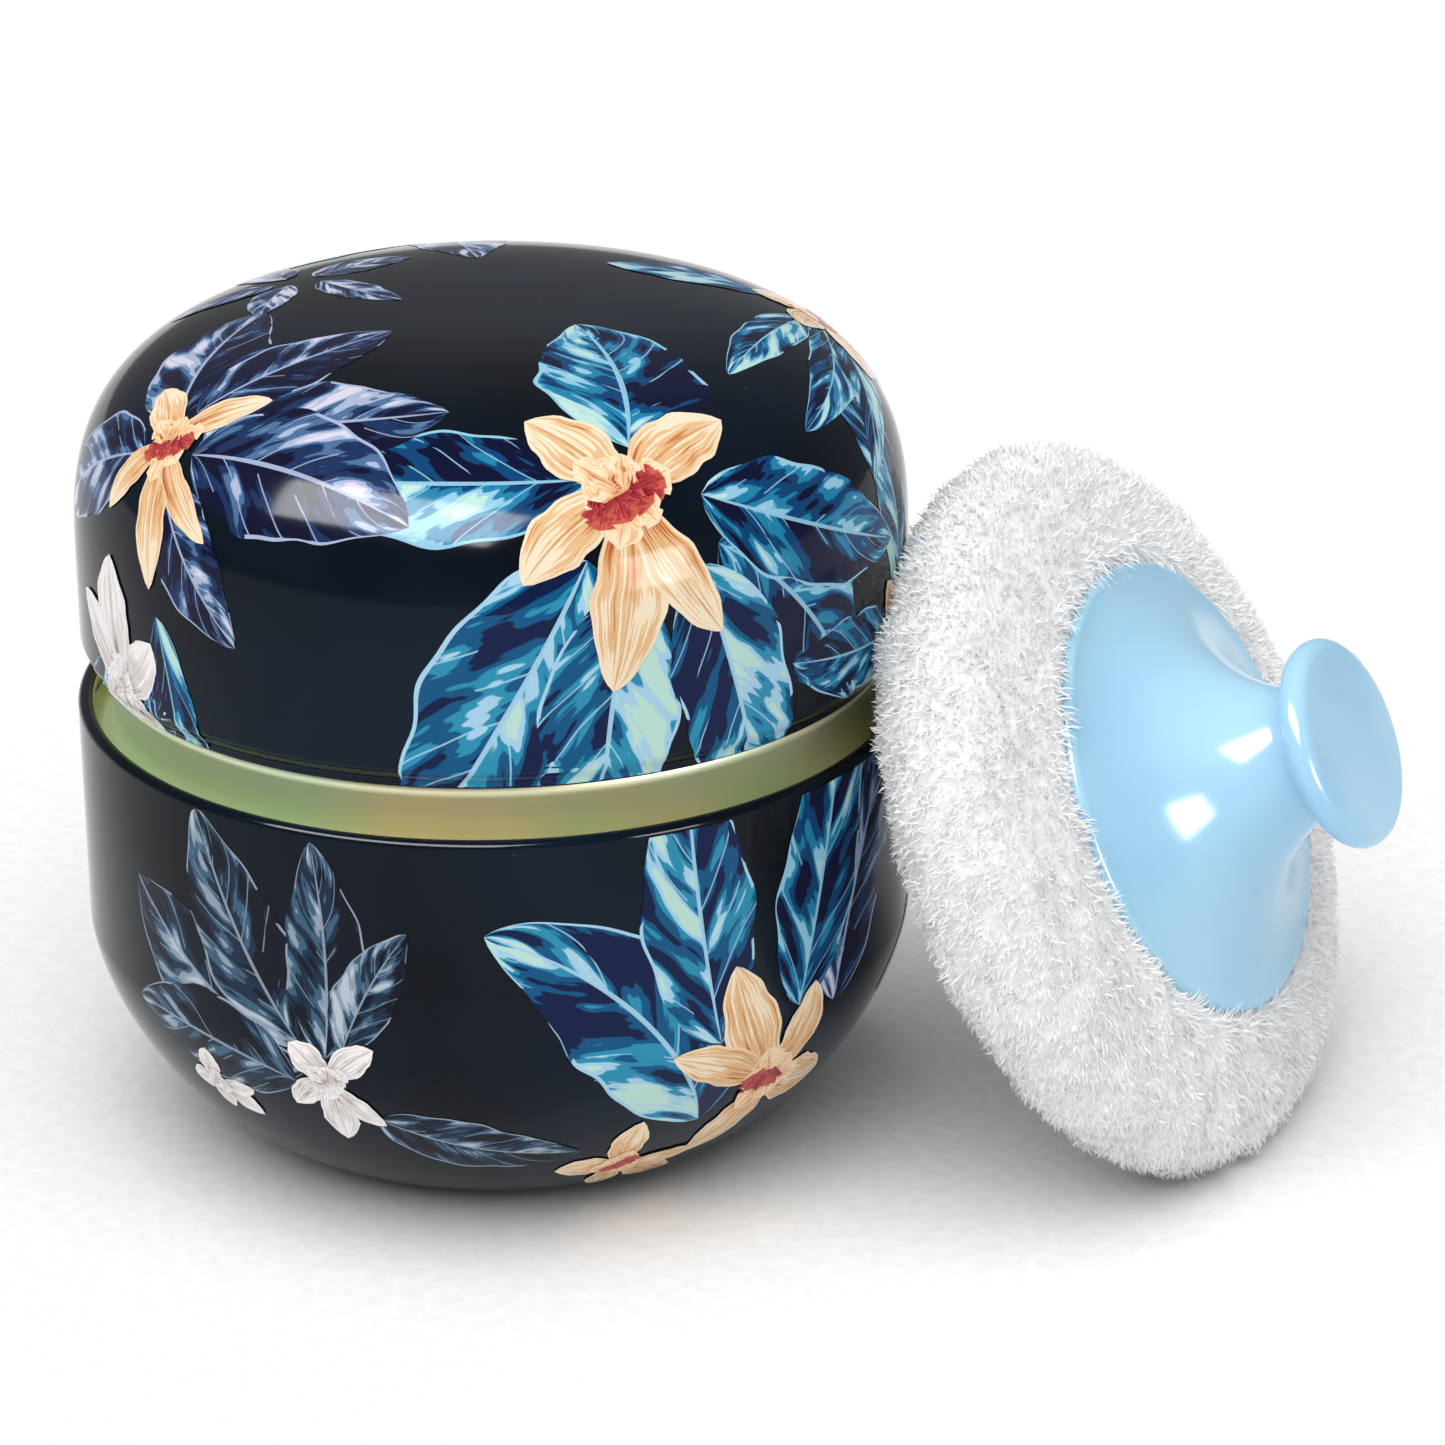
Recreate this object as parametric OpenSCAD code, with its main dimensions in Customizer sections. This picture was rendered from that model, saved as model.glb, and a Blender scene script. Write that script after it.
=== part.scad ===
// Powder tin with a domed slip lid, a gold collar, a sifter tray and a plush puff that leans on it.
// Millimetres, +Z up. The origin is the middle of the tin's flat base, on the surface it stands on.

/* [Bowl] */
// How much wider the bowl is than the lid
bowl_over = 1.4; // [0.4:0.1:24]
// Height of the bowl up to the top of its curled mouth
body_h = 53.3; // [48:0.1:70]
// Diameter of the flat base
base_d = 49.8; // [40:0.1:62]
// Height over which the base curves into the side
base_curve_h = 26.4; // [18:0.1:32]
// Radius of the curl at the mouth
mouth_curl_r = 0.9; // [0.7:0.05:1.2]
// Mean diameter of the ring pressed into the base
base_ring_d = 36; // [24:0.5:38]
// Depth of the ring pressed into the base
base_ring_h = 0.5; // [0.3:0.1:1]
// Thickness of the tinplate
sheet_t = 0.3; // [0.22:0.01:0.35]

/* [Collar] */
// Room between the collar's neck and the lid's hem
neck_gap = 0.5; // [0.3:0.05:1]
// Height of gold that shows between bowl and lid
band_h = 5.35; // [3:0.05:9]
// How far the neck reaches up inside the lid
neck_overlap = 5.35; // [3.5:0.05:8]
// Radius of the bead that the lid stops on
bead_r = 0.95; // [0.8:0.05:1.1]
// How far the bead's middle stands outside the neck
bead_out = 0.15; // [0:0.05:0.3]
// Radius of the rolled lip on top of the neck
lip_r = 0.6; // [0.5:0.05:0.8]
// Depth of the groove between bowl and neck
groove_depth = 4; // [2:0.1:6]
// Height of the skirt that grips the inside of the bowl
skirt_h = 4; // [3:0.1:8]

/* [Lid] */
// Outside diameter of the lid
lid_d = 96; // [86:0.1:120]
// Height of the lid from its lower edge to its top
lid_h = 40.35; // [36:0.05:50]
// Height of the dome above the straight side
dome_h = 29.1; // [22:0.1:32]
// How far the side draws in at the lower edge
hem_in = 1.2; // [0.6:0.05:1.2]
// Height over which the side draws in
hem_h = 2.25; // [1.5:0.05:4]
// Radius of the curl at the lower edge
hem_curl_r = 0.75; // [0.6:0.05:0.8]

/* [Sifter and powder] */
// Depth of the tray from its rim to its floor
tray_depth = 16.5; // [8:0.1:18]
// Thickness of the tray's moulding
tray_t = 0.9; // [0.7:0.1:1.2]
// Diameter of the holes in the tray
sift_hole_d = 2.6; // [1.5:0.1:4]
// Distance from one ring of holes to the next
sift_pitch = 9; // [6:0.1:11]
// Number of rings of holes round the middle one
sift_rings = 3; // [1:1:4]
// Depth of the powder
powder_h = 32; // [5:0.5:36]

/* [Puff] */
// Diameter of the puff without its longest pile
puff_d = 84; // [78:0.1:101]
// Thickness of the puff at its middle
puff_t = 21; // [19:0.1:26]
// Thickness of the plush
plush_t = 3; // [2:0.1:4]
// Depth of the seat that the handle's flange sinks into
seat_depth = 2; // [1:0.1:3]
// Thickness of the plush where handle and washer clamp it
clamp_t = 2; // [1:0.1:3]
// Diameter of the opening that the thread gathers
gather_d = 16; // [10:0.5:24]
// Thickness of the gathering thread
thread_d = 1.1; // [0.8:0.1:1.4]

/* [Handle] */
// Diameter of the flange
flange_d = 54; // [40:0.5:60]
// Thickness of the flange at its edge
flange_t = 2; // [1.8:0.1:3]
// Height from the flange's underside to the knob's face
handle_h = 23; // [20:0.1:32]
// Diameter of the knob
knob_d = 24.6; // [20:0.1:30]
// Thickness of the knob's rim
knob_t = 3.4; // [2.5:0.1:4.5]
// Smallest diameter of the stem
stem_d = 16; // [13:0.1:18]
// Wall of the hollow handle
handle_wall = 1.8; // [1.4:0.1:1.8]
// Diameter of the screw's boss
boss_d = 7; // [6:0.1:8]
// Diameter of the screw
screw_d = 3; // [2.5:0.1:3.5]
// Diameter of the washer
washer_d = 28; // [26:0.5:40]
// Thickness of the washer
washer_t = 1.5; // [1:0.1:2]

/* [Where the puff stands] */
// Direction that the handle points in, seen from above
puff_turn = -30; // [-60:1:30]
// How far the handle points upwards
puff_lean = 26; // [10:1:40]
// How far the puff stands to the side of the tin's middle
puff_side = -10; // [-25:0.5:15]

/* [Hidden] */
$fn = 96;

body_d = lid_d + bowl_over;
neck_d = lid_d - 2 * (hem_in + 2 * hem_curl_r + neck_gap);
lid_r = lid_d / 2;
body_r = body_d / 2;
neck_r = neck_d / 2;
base_r = base_d / 2;
hem_r = lid_r - hem_in - hem_curl_r;
base_full_r = 1.79;         // roundness of the base curve, across
base_full_z = 1.56;         // roundness of the base curve, upwards
dome_full_r = 3.35;         // roundness of the dome, across
dome_full_z = 3.03;         // roundness of the dome, upwards
curve_steps = 22;
curl_step = 20;             // degrees from point to point on a curl
curl_end = 80;              // how far short of a full turn a curl stops
base_ring_floor = 1;        // half the breadth of the pressed ring's floor
base_ring_reach = 2;        // half its breadth at the base

press_gap = 0.02;           // collar skirt to the bowl's inside
stop_gap = 0.05;            // lid hem to the collar's bead, and tray rim to the neck's lip
tray_gap = 0.3;             // tray wall to the neck's lip
powder_gap = 0.1;           // powder to the bowl's inside
lean_gap = 0.4;             // puff to the lid
floor_gap = 0.2;            // puff to the surface it stands on
thread_gap = 0.05;          // thread to the gathered opening
seat_gap = 0.4;             // flange to the seat's edge
washer_gap = 0.2;           // screw to the washer's hole

lid_edge_z = body_h + band_h;
lid_top_z = lid_edge_z + lid_h;
dome_z = lid_top_z - dome_h;
neck_top_z = lid_edge_z + neck_overlap;
step_z = body_h - groove_depth;
step_r = 1;
hem_z = lid_edge_z + hem_curl_r;
bead_at_r = neck_r + bead_out;
stop_reach = bead_r + hem_curl_r + stop_gap;
bead_z = hem_z - sqrt(pow(stop_reach, 2) - pow(hem_r - bead_at_r, 2));
bead_half_turn = acos(-bead_out / bead_r);

tray_z = neck_top_z + stop_gap;
tray_wall_r = neck_r - 2 * lip_r - tray_gap;
tray_floor_z = tray_z - tray_depth;
tray_round = 2;

puff_r = puff_d / 2;
puff_half = puff_t / 2;
puff_full = 2.8;            // roundness of the puff's outline
puff_dual = puff_full / (puff_full - 1);
seat_z = puff_half - seat_depth;
seat_r = flange_d / 2 + seat_gap;
clamp_z = seat_z - clamp_t;
head_h = 2;
head_d = 6;
head_chamfer = 0.6;
screw_depth = 10;
screw_spare = 1;            // how much deeper the screw's hole is
tip_chamfer = 1;
washer_z = clamp_z - washer_t;
head_z = washer_z - head_h;

flange_round = 1;
stem_below_knob = 2.6;      // from the stem's narrowest place up to the knob
hollow_below_stem = 3;      // from the hollow's top up to the stem's narrowest place
stem_z = handle_h - knob_t - stem_below_knob;
hollow_z = stem_z - hollow_below_stem;
trumpet_full = 1.6;         // how full the handle's flare is

// Sine and cosine raised to a power, with their sign kept
function sin_to(a, e) = sign(sin(a)) * pow(abs(sin(a)), e);
function cos_to(a, e) = sign(cos(a)) * pow(abs(cos(a)), e);

// Points on an arc about [x, y]
function arc(x, y, r, from, to, steps) =
    [for (i = [0:steps]) let (a = from + (to - from) * i / steps) [x + r * cos(a), y + r * sin(a)]];

// Points on a curl, about one every curl_step degrees
function curl(x, y, r, from, to) = arc(x, y, r, from, to, ceil(abs(to - from) / curl_step));

function reversed(line) = [for (i = [len(line) - 1:-1:0]) line[i]];
function unit(v) = v / norm(v);
function left_of(v) = [-v[1], v[0]];

// The line t to the left of another, no further in than the axis
function beside(line, t) =
    let (last = len(line) - 1)
    [for (i = [0:last])
        let (before = unit(line[max(i, 1)] - line[max(i, 1) - 1]),
            after = unit(line[min(i, last - 1) + 1] - line[min(i, last - 1)]),
            middle = unit(left_of(before) + left_of(after)),
            at = line[i] + middle * t / (middle * left_of(before)))
        [max(at[0], 0), at[1]]];

// A sheet of thickness t whose outer face is the line, as one closed outline
function sheet(line, t) = concat(line, reversed(beside(line, t)));

// The bowl's outer line up to a height on its straight side
function bowl_line() = concat(
    [[0, 0], [base_ring_d / 2 - base_ring_reach, 0], [base_ring_d / 2 - base_ring_floor, base_ring_h],
        [base_ring_d / 2 + base_ring_floor, base_ring_h], [base_ring_d / 2 + base_ring_reach, 0]],
    [for (i = [0:curve_steps])
        let (a = 90 * i / curve_steps)
        [base_r + (body_r - base_r) * sin_to(a, 2 / base_full_r),
            base_curve_h * (1 - cos_to(a, 2 / base_full_z))]]);

// The lid's dome, from its straight side to its middle
function dome_line() =
    [for (i = [0:curve_steps])
        let (a = 90 * i / curve_steps)
        [lid_r * cos_to(a, 2 / dome_full_r), dome_z + dome_h * sin_to(a, 2 / dome_full_z)]];

// One half of the puff's outline, from the middle of its back to the middle of its front
function puff_line(r, half) =
    [for (a = [-90:5:90]) [r * cos_to(a, 2 / puff_full), half * sin_to(a, 2 / puff_full)]];
function puff_height(x, r, half) = half * pow(1 - pow(x / r, puff_full), 1 / puff_full);

// The filling's outline, flattened where the washer and the flange press on it
function core_line() =
    [for (p = puff_line(puff_r - plush_t, puff_half - plush_t)) [p[0], min(p[1], clamp_z)]];

// The handle's flare, from the flange's edge to the stem
function flare_line() =
    [for (i = [0:curve_steps])
        let (a = 90 * i / curve_steps, edge = flange_d / 2 - flange_round)
        [edge - (edge - stem_d / 2) * sin_to(a, 2 / trumpet_full),
            stem_z - (stem_z - flange_t) * cos_to(a, 2 / trumpet_full)]];

// How far the puff reaches from its middle, along a direction at an angle whose cosine to the handle is c
function puff_reach(c) =
    pow(pow(puff_r * sqrt(1 - c * c), puff_dual) + pow(puff_half * abs(c), puff_dual), 1 / puff_dual);

// The puff stands on its edge and leans so near to the lid that only the gap is left
puff_z = puff_reach(sin(puff_lean)) + floor_gap;
puff_x = min([for (a = [120:1:240])
    (lid_r + lean_gap + puff_reach(cos(puff_lean) * cos(a - puff_turn)) + puff_side * sin(a)) / -cos(a)]);

// Places what is drawn about the puff's own middle, handle along +Z, where the puff stands
module at_puff() {
    translate([puff_x, puff_side, puff_z]) rotate([0, 90 - puff_lean, puff_turn]) children();
}

module body_shell() {
    mouth = curl(body_r - mouth_curl_r, body_h - mouth_curl_r, mouth_curl_r, 0, 360 - curl_end);
    color("#15202e") rotate_extrude() polygon(sheet(concat(bowl_line(), mouth), sheet_t));
}

module neck_ring() {
    skirt_r = body_r - sheet_t - press_gap;
    skirt = [[skirt_r, step_z - skirt_h]];
    shoulder = curl(skirt_r - step_r, step_z - step_r, step_r, 0, 90);
    root = curl(neck_r + step_r, step_z + step_r, step_r, 270, 180);
    bead = curl(bead_at_r, bead_z, bead_r, -bead_half_turn, bead_half_turn);
    lip = curl(neck_r - lip_r, neck_top_z - lip_r, lip_r, 0, 270);
    color("#b9bd86") rotate_extrude() polygon(sheet(concat(skirt, shoulder, root, bead, lip), sheet_t));
}

module lid_shell() {
    hem = curl(hem_r, hem_z, hem_curl_r, curl_end, 360);
    draw_in = [for (i = [1:6]) [lid_r - hem_in * (1 + cos(30 * i)) / 2, hem_z + hem_h * i / 6]];
    color("#132033") rotate_extrude() polygon(sheet(concat(hem, draw_in, dome_line()), sheet_t));
}

module sifter_tray() {
    inside_r = tray_wall_r - tray_t;
    color("#f2f2ee") difference() {
        rotate_extrude() polygon(concat(
            [[0, tray_floor_z], [0, tray_floor_z + tray_t], [inside_r - tray_round, tray_floor_z + tray_t]],
            arc(inside_r - tray_round, tray_floor_z + tray_t + tray_round, tray_round, -75, 0, 5),
            [[inside_r, tray_z + tray_t], [neck_r, tray_z + tray_t], [neck_r, tray_z], [tray_wall_r, tray_z]],
            arc(tray_wall_r - tray_round, tray_floor_z + tray_round, tray_round, 0, -90, 6)));
        translate([0, 0, tray_floor_z + tray_t / 2]) cylinder(h = 2 * tray_t, d = sift_hole_d, center = true);
        for (ring = [1:sift_rings], i = [0:6 * ring - 1])
            rotate(i * 60 / ring) translate([ring * sift_pitch, 0, tray_floor_z + tray_t / 2])
                cylinder(h = 2 * tray_t, d = sift_hole_d, center = true);
    }
}

module powder_fill() {
    inside = beside(bowl_line(), sheet_t + powder_gap);
    color("#f6f4ef") rotate_extrude() intersection() {
        polygon(concat(inside, [[body_r - sheet_t - powder_gap, body_h], [0, body_h]]));
        square([body_r, powder_h]);
    }
}

module plush_cover() {
    outer = [for (p = puff_line(puff_r, puff_half)) if (p[1] < 0 || p[0] > seat_r) p];
    inner = [for (p = core_line()) if (p[1] < clamp_z || p[0] > gather_d / 2) p];
    color("#f4f4f4") at_puff() rotate_extrude() polygon(concat(outer,
        [[seat_r, puff_height(seat_r, puff_r, puff_half)], [seat_r, seat_z], [gather_d / 2, seat_z],
            [gather_d / 2, clamp_z]],
        reversed(inner)));
}

module foam_core() {
    color("#e6e2d6") at_puff() rotate_extrude() polygon(concat(
        [for (p = core_line()) if (p[1] < clamp_z || p[0] > washer_d / 2) p],
        [[washer_d / 2, clamp_z], [washer_d / 2, washer_z], [head_d / 2, washer_z], [head_d / 2, head_z],
            [0, head_z]]));
}

module puff_handle() {
    edge_r = flange_d / 2;
    knob_r = knob_d / 2;
    under_r = knob_r - knob_t / 2;
    under_z = handle_h - knob_t;
    edge = arc(edge_r - flange_round, flange_t - flange_round, flange_round, 0, 75, 5);
    neck = [for (a = [15:15:90])
        [stem_d / 2 + (under_r - stem_d / 2) * (1 - cos(a)), stem_z + (under_z - stem_z) * sin(a)]];
    rim = arc(under_r, handle_h - knob_t / 2, knob_t / 2, -75, 90, 11);
    hollow = [for (p = beside(flare_line(), handle_wall))
        if (p[0] < edge_r - handle_wall && p[1] < hollow_z) p];
    color("#a5d5ee") at_puff() translate([0, 0, seat_z]) rotate_extrude() polygon(concat(
        [[edge_r, 0]], edge, flare_line(), neck, rim, [[0, handle_h]],
        [[0, screw_depth + screw_spare], [screw_d / 2, screw_depth + screw_spare], [screw_d / 2, 0],
            [boss_d / 2, 0], [boss_d / 2, hollow_z], [stem_d / 2 - handle_wall, hollow_z]],
        reversed(hollow),
        [[edge_r - handle_wall, 0]]));
}

module backing_washer() {
    color("#dfe3e6") at_puff() translate([0, 0, washer_z]) difference() {
        cylinder(h = washer_t, d = washer_d);
        translate([0, 0, -washer_t / 2]) cylinder(h = 2 * washer_t, d = screw_d + 2 * washer_gap);
    }
}

module handle_screw() {
    color("#b8bcc0") at_puff() rotate_extrude() polygon([
        [0, head_z], [head_d / 2 - head_chamfer, head_z], [head_d / 2, head_z + head_chamfer],
        [head_d / 2, washer_z], [screw_d / 2, washer_z], [screw_d / 2, seat_z + screw_depth - tip_chamfer],
        [screw_d / 2 - tip_chamfer, seat_z + screw_depth], [0, seat_z + screw_depth]]);
}

module gather_thread() {
    ring_r = (gather_d - thread_d) / 2 - thread_gap;
    color("#ffffff") at_puff() translate([0, 0, (seat_z + clamp_z) / 2])
        rotate_extrude() translate([ring_r, 0]) circle(d = thread_d);
}

body_shell();
neck_ring();
lid_shell();
sifter_tray();
powder_fill();
plush_cover();
foam_core();
puff_handle();
backing_washer();
handle_screw();
gather_thread();
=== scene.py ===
"""A domed powder tin and its plush puff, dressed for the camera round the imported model.

Every length in the size classes is in millimetres and is turned to metres where a mesh is made.
"""

import logging
import math
from dataclasses import dataclass, field
from enum import Enum

import bpy
import numpy as np
from mathutils import Matrix, Vector


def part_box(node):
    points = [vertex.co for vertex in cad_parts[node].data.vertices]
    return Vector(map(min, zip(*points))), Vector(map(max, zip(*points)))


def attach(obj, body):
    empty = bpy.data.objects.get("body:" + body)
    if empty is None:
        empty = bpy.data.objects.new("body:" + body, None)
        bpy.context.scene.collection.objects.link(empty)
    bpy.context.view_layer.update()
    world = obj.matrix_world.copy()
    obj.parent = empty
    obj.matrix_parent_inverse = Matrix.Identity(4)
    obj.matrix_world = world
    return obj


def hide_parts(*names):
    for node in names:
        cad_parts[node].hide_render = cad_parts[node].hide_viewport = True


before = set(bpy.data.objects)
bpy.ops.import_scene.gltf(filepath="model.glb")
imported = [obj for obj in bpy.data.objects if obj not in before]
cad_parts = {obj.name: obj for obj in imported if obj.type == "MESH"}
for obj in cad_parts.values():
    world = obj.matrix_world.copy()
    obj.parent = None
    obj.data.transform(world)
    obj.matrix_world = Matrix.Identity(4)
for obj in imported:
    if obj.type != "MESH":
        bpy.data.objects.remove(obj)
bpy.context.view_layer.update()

LOG = logging.getLogger("powder_tin")
MM = 0.001

Point = tuple[float, float]
Line = list[Point]


# ---------------------------------------------------------------- colours and nodes


def linear(code: str) -> tuple[float, float, float, float]:
    """Turns an sRGB hex colour to the linear one that shaders take.

    Args:
        code: The colour, such as "#0E5A8A".

    Returns:
        Linear red, green and blue, and an alpha of 1.
    """
    parts = [int(code[i : i + 2], 16) / 255 for i in (1, 3, 5)]
    made = [c / 12.92 if c <= 0.04045 else ((c + 0.055) / 1.055) ** 2.4 for c in parts]
    return made[0], made[1], made[2], 1.0


def add_node(
    tree: bpy.types.NodeTree, kind: str, inputs: dict | None = None, stops: list | None = None,
    **settings: object,
) -> bpy.types.Node:
    """Adds one node with its settings, its socket values and its links.

    Args:
        tree: The material's or the world's node tree.
        kind: The node's Blender type.
        inputs: Socket name or number, to a value or to the wire or output that is linked to it.
        stops: (place, hex colour) pairs, for a node that has a colour ramp.
        settings: The node's own properties.

    Returns:
        The new node.
    """
    node = tree.nodes.new(kind)
    for name, value in settings.items():
        setattr(node, name, value)
    if stops:
        ramp = node.color_ramp
        while len(ramp.elements) < len(stops):
            ramp.elements.new(0.5)
        for element, (place, code) in zip(ramp.elements, stops):
            element.position = place
            element.color = linear(code)
    for key, value in (inputs or {}).items():
        value = value.end if isinstance(value, Wire) else value
        if isinstance(value, bpy.types.NodeSocket):
            tree.links.new(value, node.inputs[key])
        else:
            node.inputs[key].default_value = value
    return node


class Op(Enum):
    """The sums that the materials need."""

    ADD = "ADD"
    LESS = "SUBTRACT"
    TIMES = "MULTIPLY"
    OVER = "GREATER_THAN"
    FRACTION = "FRACT"
    SIZE = "ABSOLUTE"


@dataclass(frozen=True)
class Wire:
    """A number that runs through a node tree, so that its sums read as plain arithmetic."""

    tree: bpy.types.NodeTree
    end: bpy.types.NodeSocket

    def sum(self, op: Op, first: object, second: object = 0.0) -> "Wire":
        """Adds one sum node.

        Args:
            op: Which sum.
            first: A number or a wire.
            second: A number or a wire, where the sum takes two.

        Returns:
            The wire that holds the result.
        """
        node = add_node(self.tree, "ShaderNodeMath", {0: first, 1: second}, operation=op.value)
        return Wire(self.tree, node.outputs[0])

    def __add__(self, other: object) -> "Wire":
        """This number plus another."""
        return self.sum(Op.ADD, self, other)

    def __sub__(self, other: object) -> "Wire":
        """This number less another."""
        return self.sum(Op.LESS, self, other)

    def __mul__(self, other: object) -> "Wire":
        """This number times another."""
        return self.sum(Op.TIMES, self, other)

    def __abs__(self) -> "Wire":
        """This number without its sign."""
        return self.sum(Op.SIZE, self)

    def over(self, limit: float) -> "Wire":
        """1 where this number is over a limit, and 0 elsewhere."""
        return self.sum(Op.OVER, self, limit)

    def under(self, limit: float) -> "Wire":
        """1 where this number is not over a limit, and 0 elsewhere."""
        return self.sum(Op.LESS, 1.0, self.over(limit))

    def fraction(self) -> "Wire":
        """What this number has after its decimal point."""
        return self.sum(Op.FRACTION, self)


def blended(tree: bpy.types.NodeTree, share: object, under: object, over: str) -> bpy.types.NodeSocket:
    """Lays one colour over another.

    Args:
        tree: The material's node tree.
        share: How much of the upper colour shows, a number or a wire.
        under: The output that holds the lower colour.
        over: The upper colour's hex code.

    Returns:
        The output that holds the mixed colour.
    """
    inputs = {0: share, 6: under, 7: linear(over)}
    return add_node(tree, "ShaderNodeMix", inputs, data_type="RGBA").outputs[2]


def ramp(tree: bpy.types.NodeTree, level: object, *stops: tuple[float, str]) -> bpy.types.NodeSocket:
    """Turns a number to a colour.

    Args:
        tree: The material's node tree.
        level: The number's wire.
        stops: (place, hex colour) pairs.

    Returns:
        The output that holds the colour.
    """
    return add_node(tree, "ShaderNodeValToRGB", {0: level}, stops=list(stops)).outputs[0]


def object_place(tree: bpy.types.NodeTree) -> bpy.types.NodeSocket:
    """The place on the object, in metres."""
    return add_node(tree, "ShaderNodeTexCoord").outputs["Object"]


def noise(tree: bpy.types.NodeTree, place: object, scale: float, detail: float, rough: float = 0.5) -> Wire:
    """Adds a noise.

    Args:
        tree: The material's node tree.
        place: The output that holds the place, or three numbers or wires that make one.
        scale: How many lumps there are to one unit of the place.
        detail: Octaves of noise.
        rough: How strong the finer octaves are.

    Returns:
        The noise, from 0 to 1.
    """
    if isinstance(place, tuple):
        place = add_node(tree, "ShaderNodeCombineXYZ", dict(enumerate(place))).outputs[0]
    inputs = {"Vector": place, "Scale": scale, "Detail": detail, "Roughness": rough}
    return Wire(tree, add_node(tree, "ShaderNodeTexNoise", inputs).outputs[0])


def clouds(tree: bpy.types.NodeTree, size_mm: float, detail: float = 2.0) -> Wire:
    """Broad, soft unevenness over the object, with clouds of a given size."""
    return noise(tree, object_place(tree), 1 / (size_mm * MM), detail)


def map_of(tree: bpy.types.NodeTree, name: str) -> list[Wire]:
    """Reads one of the print's maps.

    Args:
        tree: The material's node tree.
        name: The map's name: "leaf" or "mark".

    Returns:
        Its two numbers.
    """
    both = add_node(tree, "ShaderNodeUVMap", uv_map=name).outputs[0]
    return [Wire(tree, end) for end in add_node(tree, "ShaderNodeSeparateXYZ", {0: both}).outputs[0:2]]


# ---------------------------------------------------------------- finishes

GLOSS = 0.13  # how much the clear varnish over lacquer and inks reflects

Made = tuple[bpy.types.Material, bpy.types.NodeTree, bpy.types.Node]
Stretch = tuple[float, float, float]


@dataclass(frozen=True)
class Finish:
    """What every finish has: a name, and how rough its surface is."""

    name: str
    roughness: float

    def start(self, **sockets: object) -> Made:
        """Makes the material with its Principled shader.

        Args:
            sockets: Values for the shader's sockets, with underscores for the spaces in their names.

        Returns:
            The material, its node tree and the shader.
        """
        material = bpy.data.materials.new(self.name)
        material.use_nodes = True
        shader = material.node_tree.nodes["Principled BSDF"]
        for name, value in {"Roughness": self.roughness, **sockets}.items():
            shader.inputs[name.replace("_", " ")].default_value = value
        return material, material.node_tree, shader

    @staticmethod
    def painted(made: Made, colour: bpy.types.NodeSocket) -> bpy.types.Material:
        """Gives the shader its colour, and hands over the material."""
        made[1].links.new(colour, made[2].inputs["Base Color"])
        return made[0]

    @staticmethod
    def grain(
        made: Made, size_mm: float, depth_mm: float, stretch: Stretch = (1, 1, 1), detail: float = 3.0
    ) -> Wire:
        """Roughens the surface with an even grain.

        Args:
            made: What start() gave.
            size_mm: Distance from one grain to the next.
            depth_mm: Height of the grain.
            stretch: How much finer the grain is along X, Y and Z.
            detail: Octaves of noise.

        Returns:
            The noise, for a finish that uses it again.
        """
        _, tree, shader = made
        at = add_node(tree, "ShaderNodeMapping", {"Vector": object_place(tree), "Scale": stretch}).outputs[0]
        height = noise(tree, at, 1 / (size_mm * MM), detail)
        rise = {"Height": height, "Distance": depth_mm * MM, "Strength": 1.0}
        bump = add_node(tree, "ShaderNodeBump", rise)
        tree.links.new(bump.outputs[0], shader.inputs["Normal"])
        return height


@dataclass(frozen=True)
class LithoLacquer(Finish):
    """Tinplate roller-coated near black and gloss lacquered.

    It gives the eye a deep, slightly blue black that is neither flat nor even, with the faint orange peel
    of a stoved lacquer and a few dust nibs.
    """

    name: str = "litho_lacquer_on_tinplate"
    roughness: float = 0.1
    deep: str = "#04080F"
    light: str = "#091827"
    nib: str = "#3A424C"
    nib_reach: float = 0.018

    def material(self) -> bpy.types.Material:
        """Builds the lacquer's material.

        Returns:
            The material.
        """
        made = self.start(Specular_IOR_Level=GLOSS)
        tree = made[1]
        self.grain(made, size_mm=1.1, depth_mm=0.0016, detail=1.0)
        ground = ramp(tree, clouds(tree, 34), (0.36, self.deep), (0.64, self.light))
        cells = add_node(tree, "ShaderNodeTexVoronoi", {"Vector": object_place(tree), "Scale": 1 / (7 * MM)})
        speck = Wire(tree, cells.outputs["Distance"]).under(self.nib_reach)
        return self.painted(made, blended(tree, speck, ground, self.nib))


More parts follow.
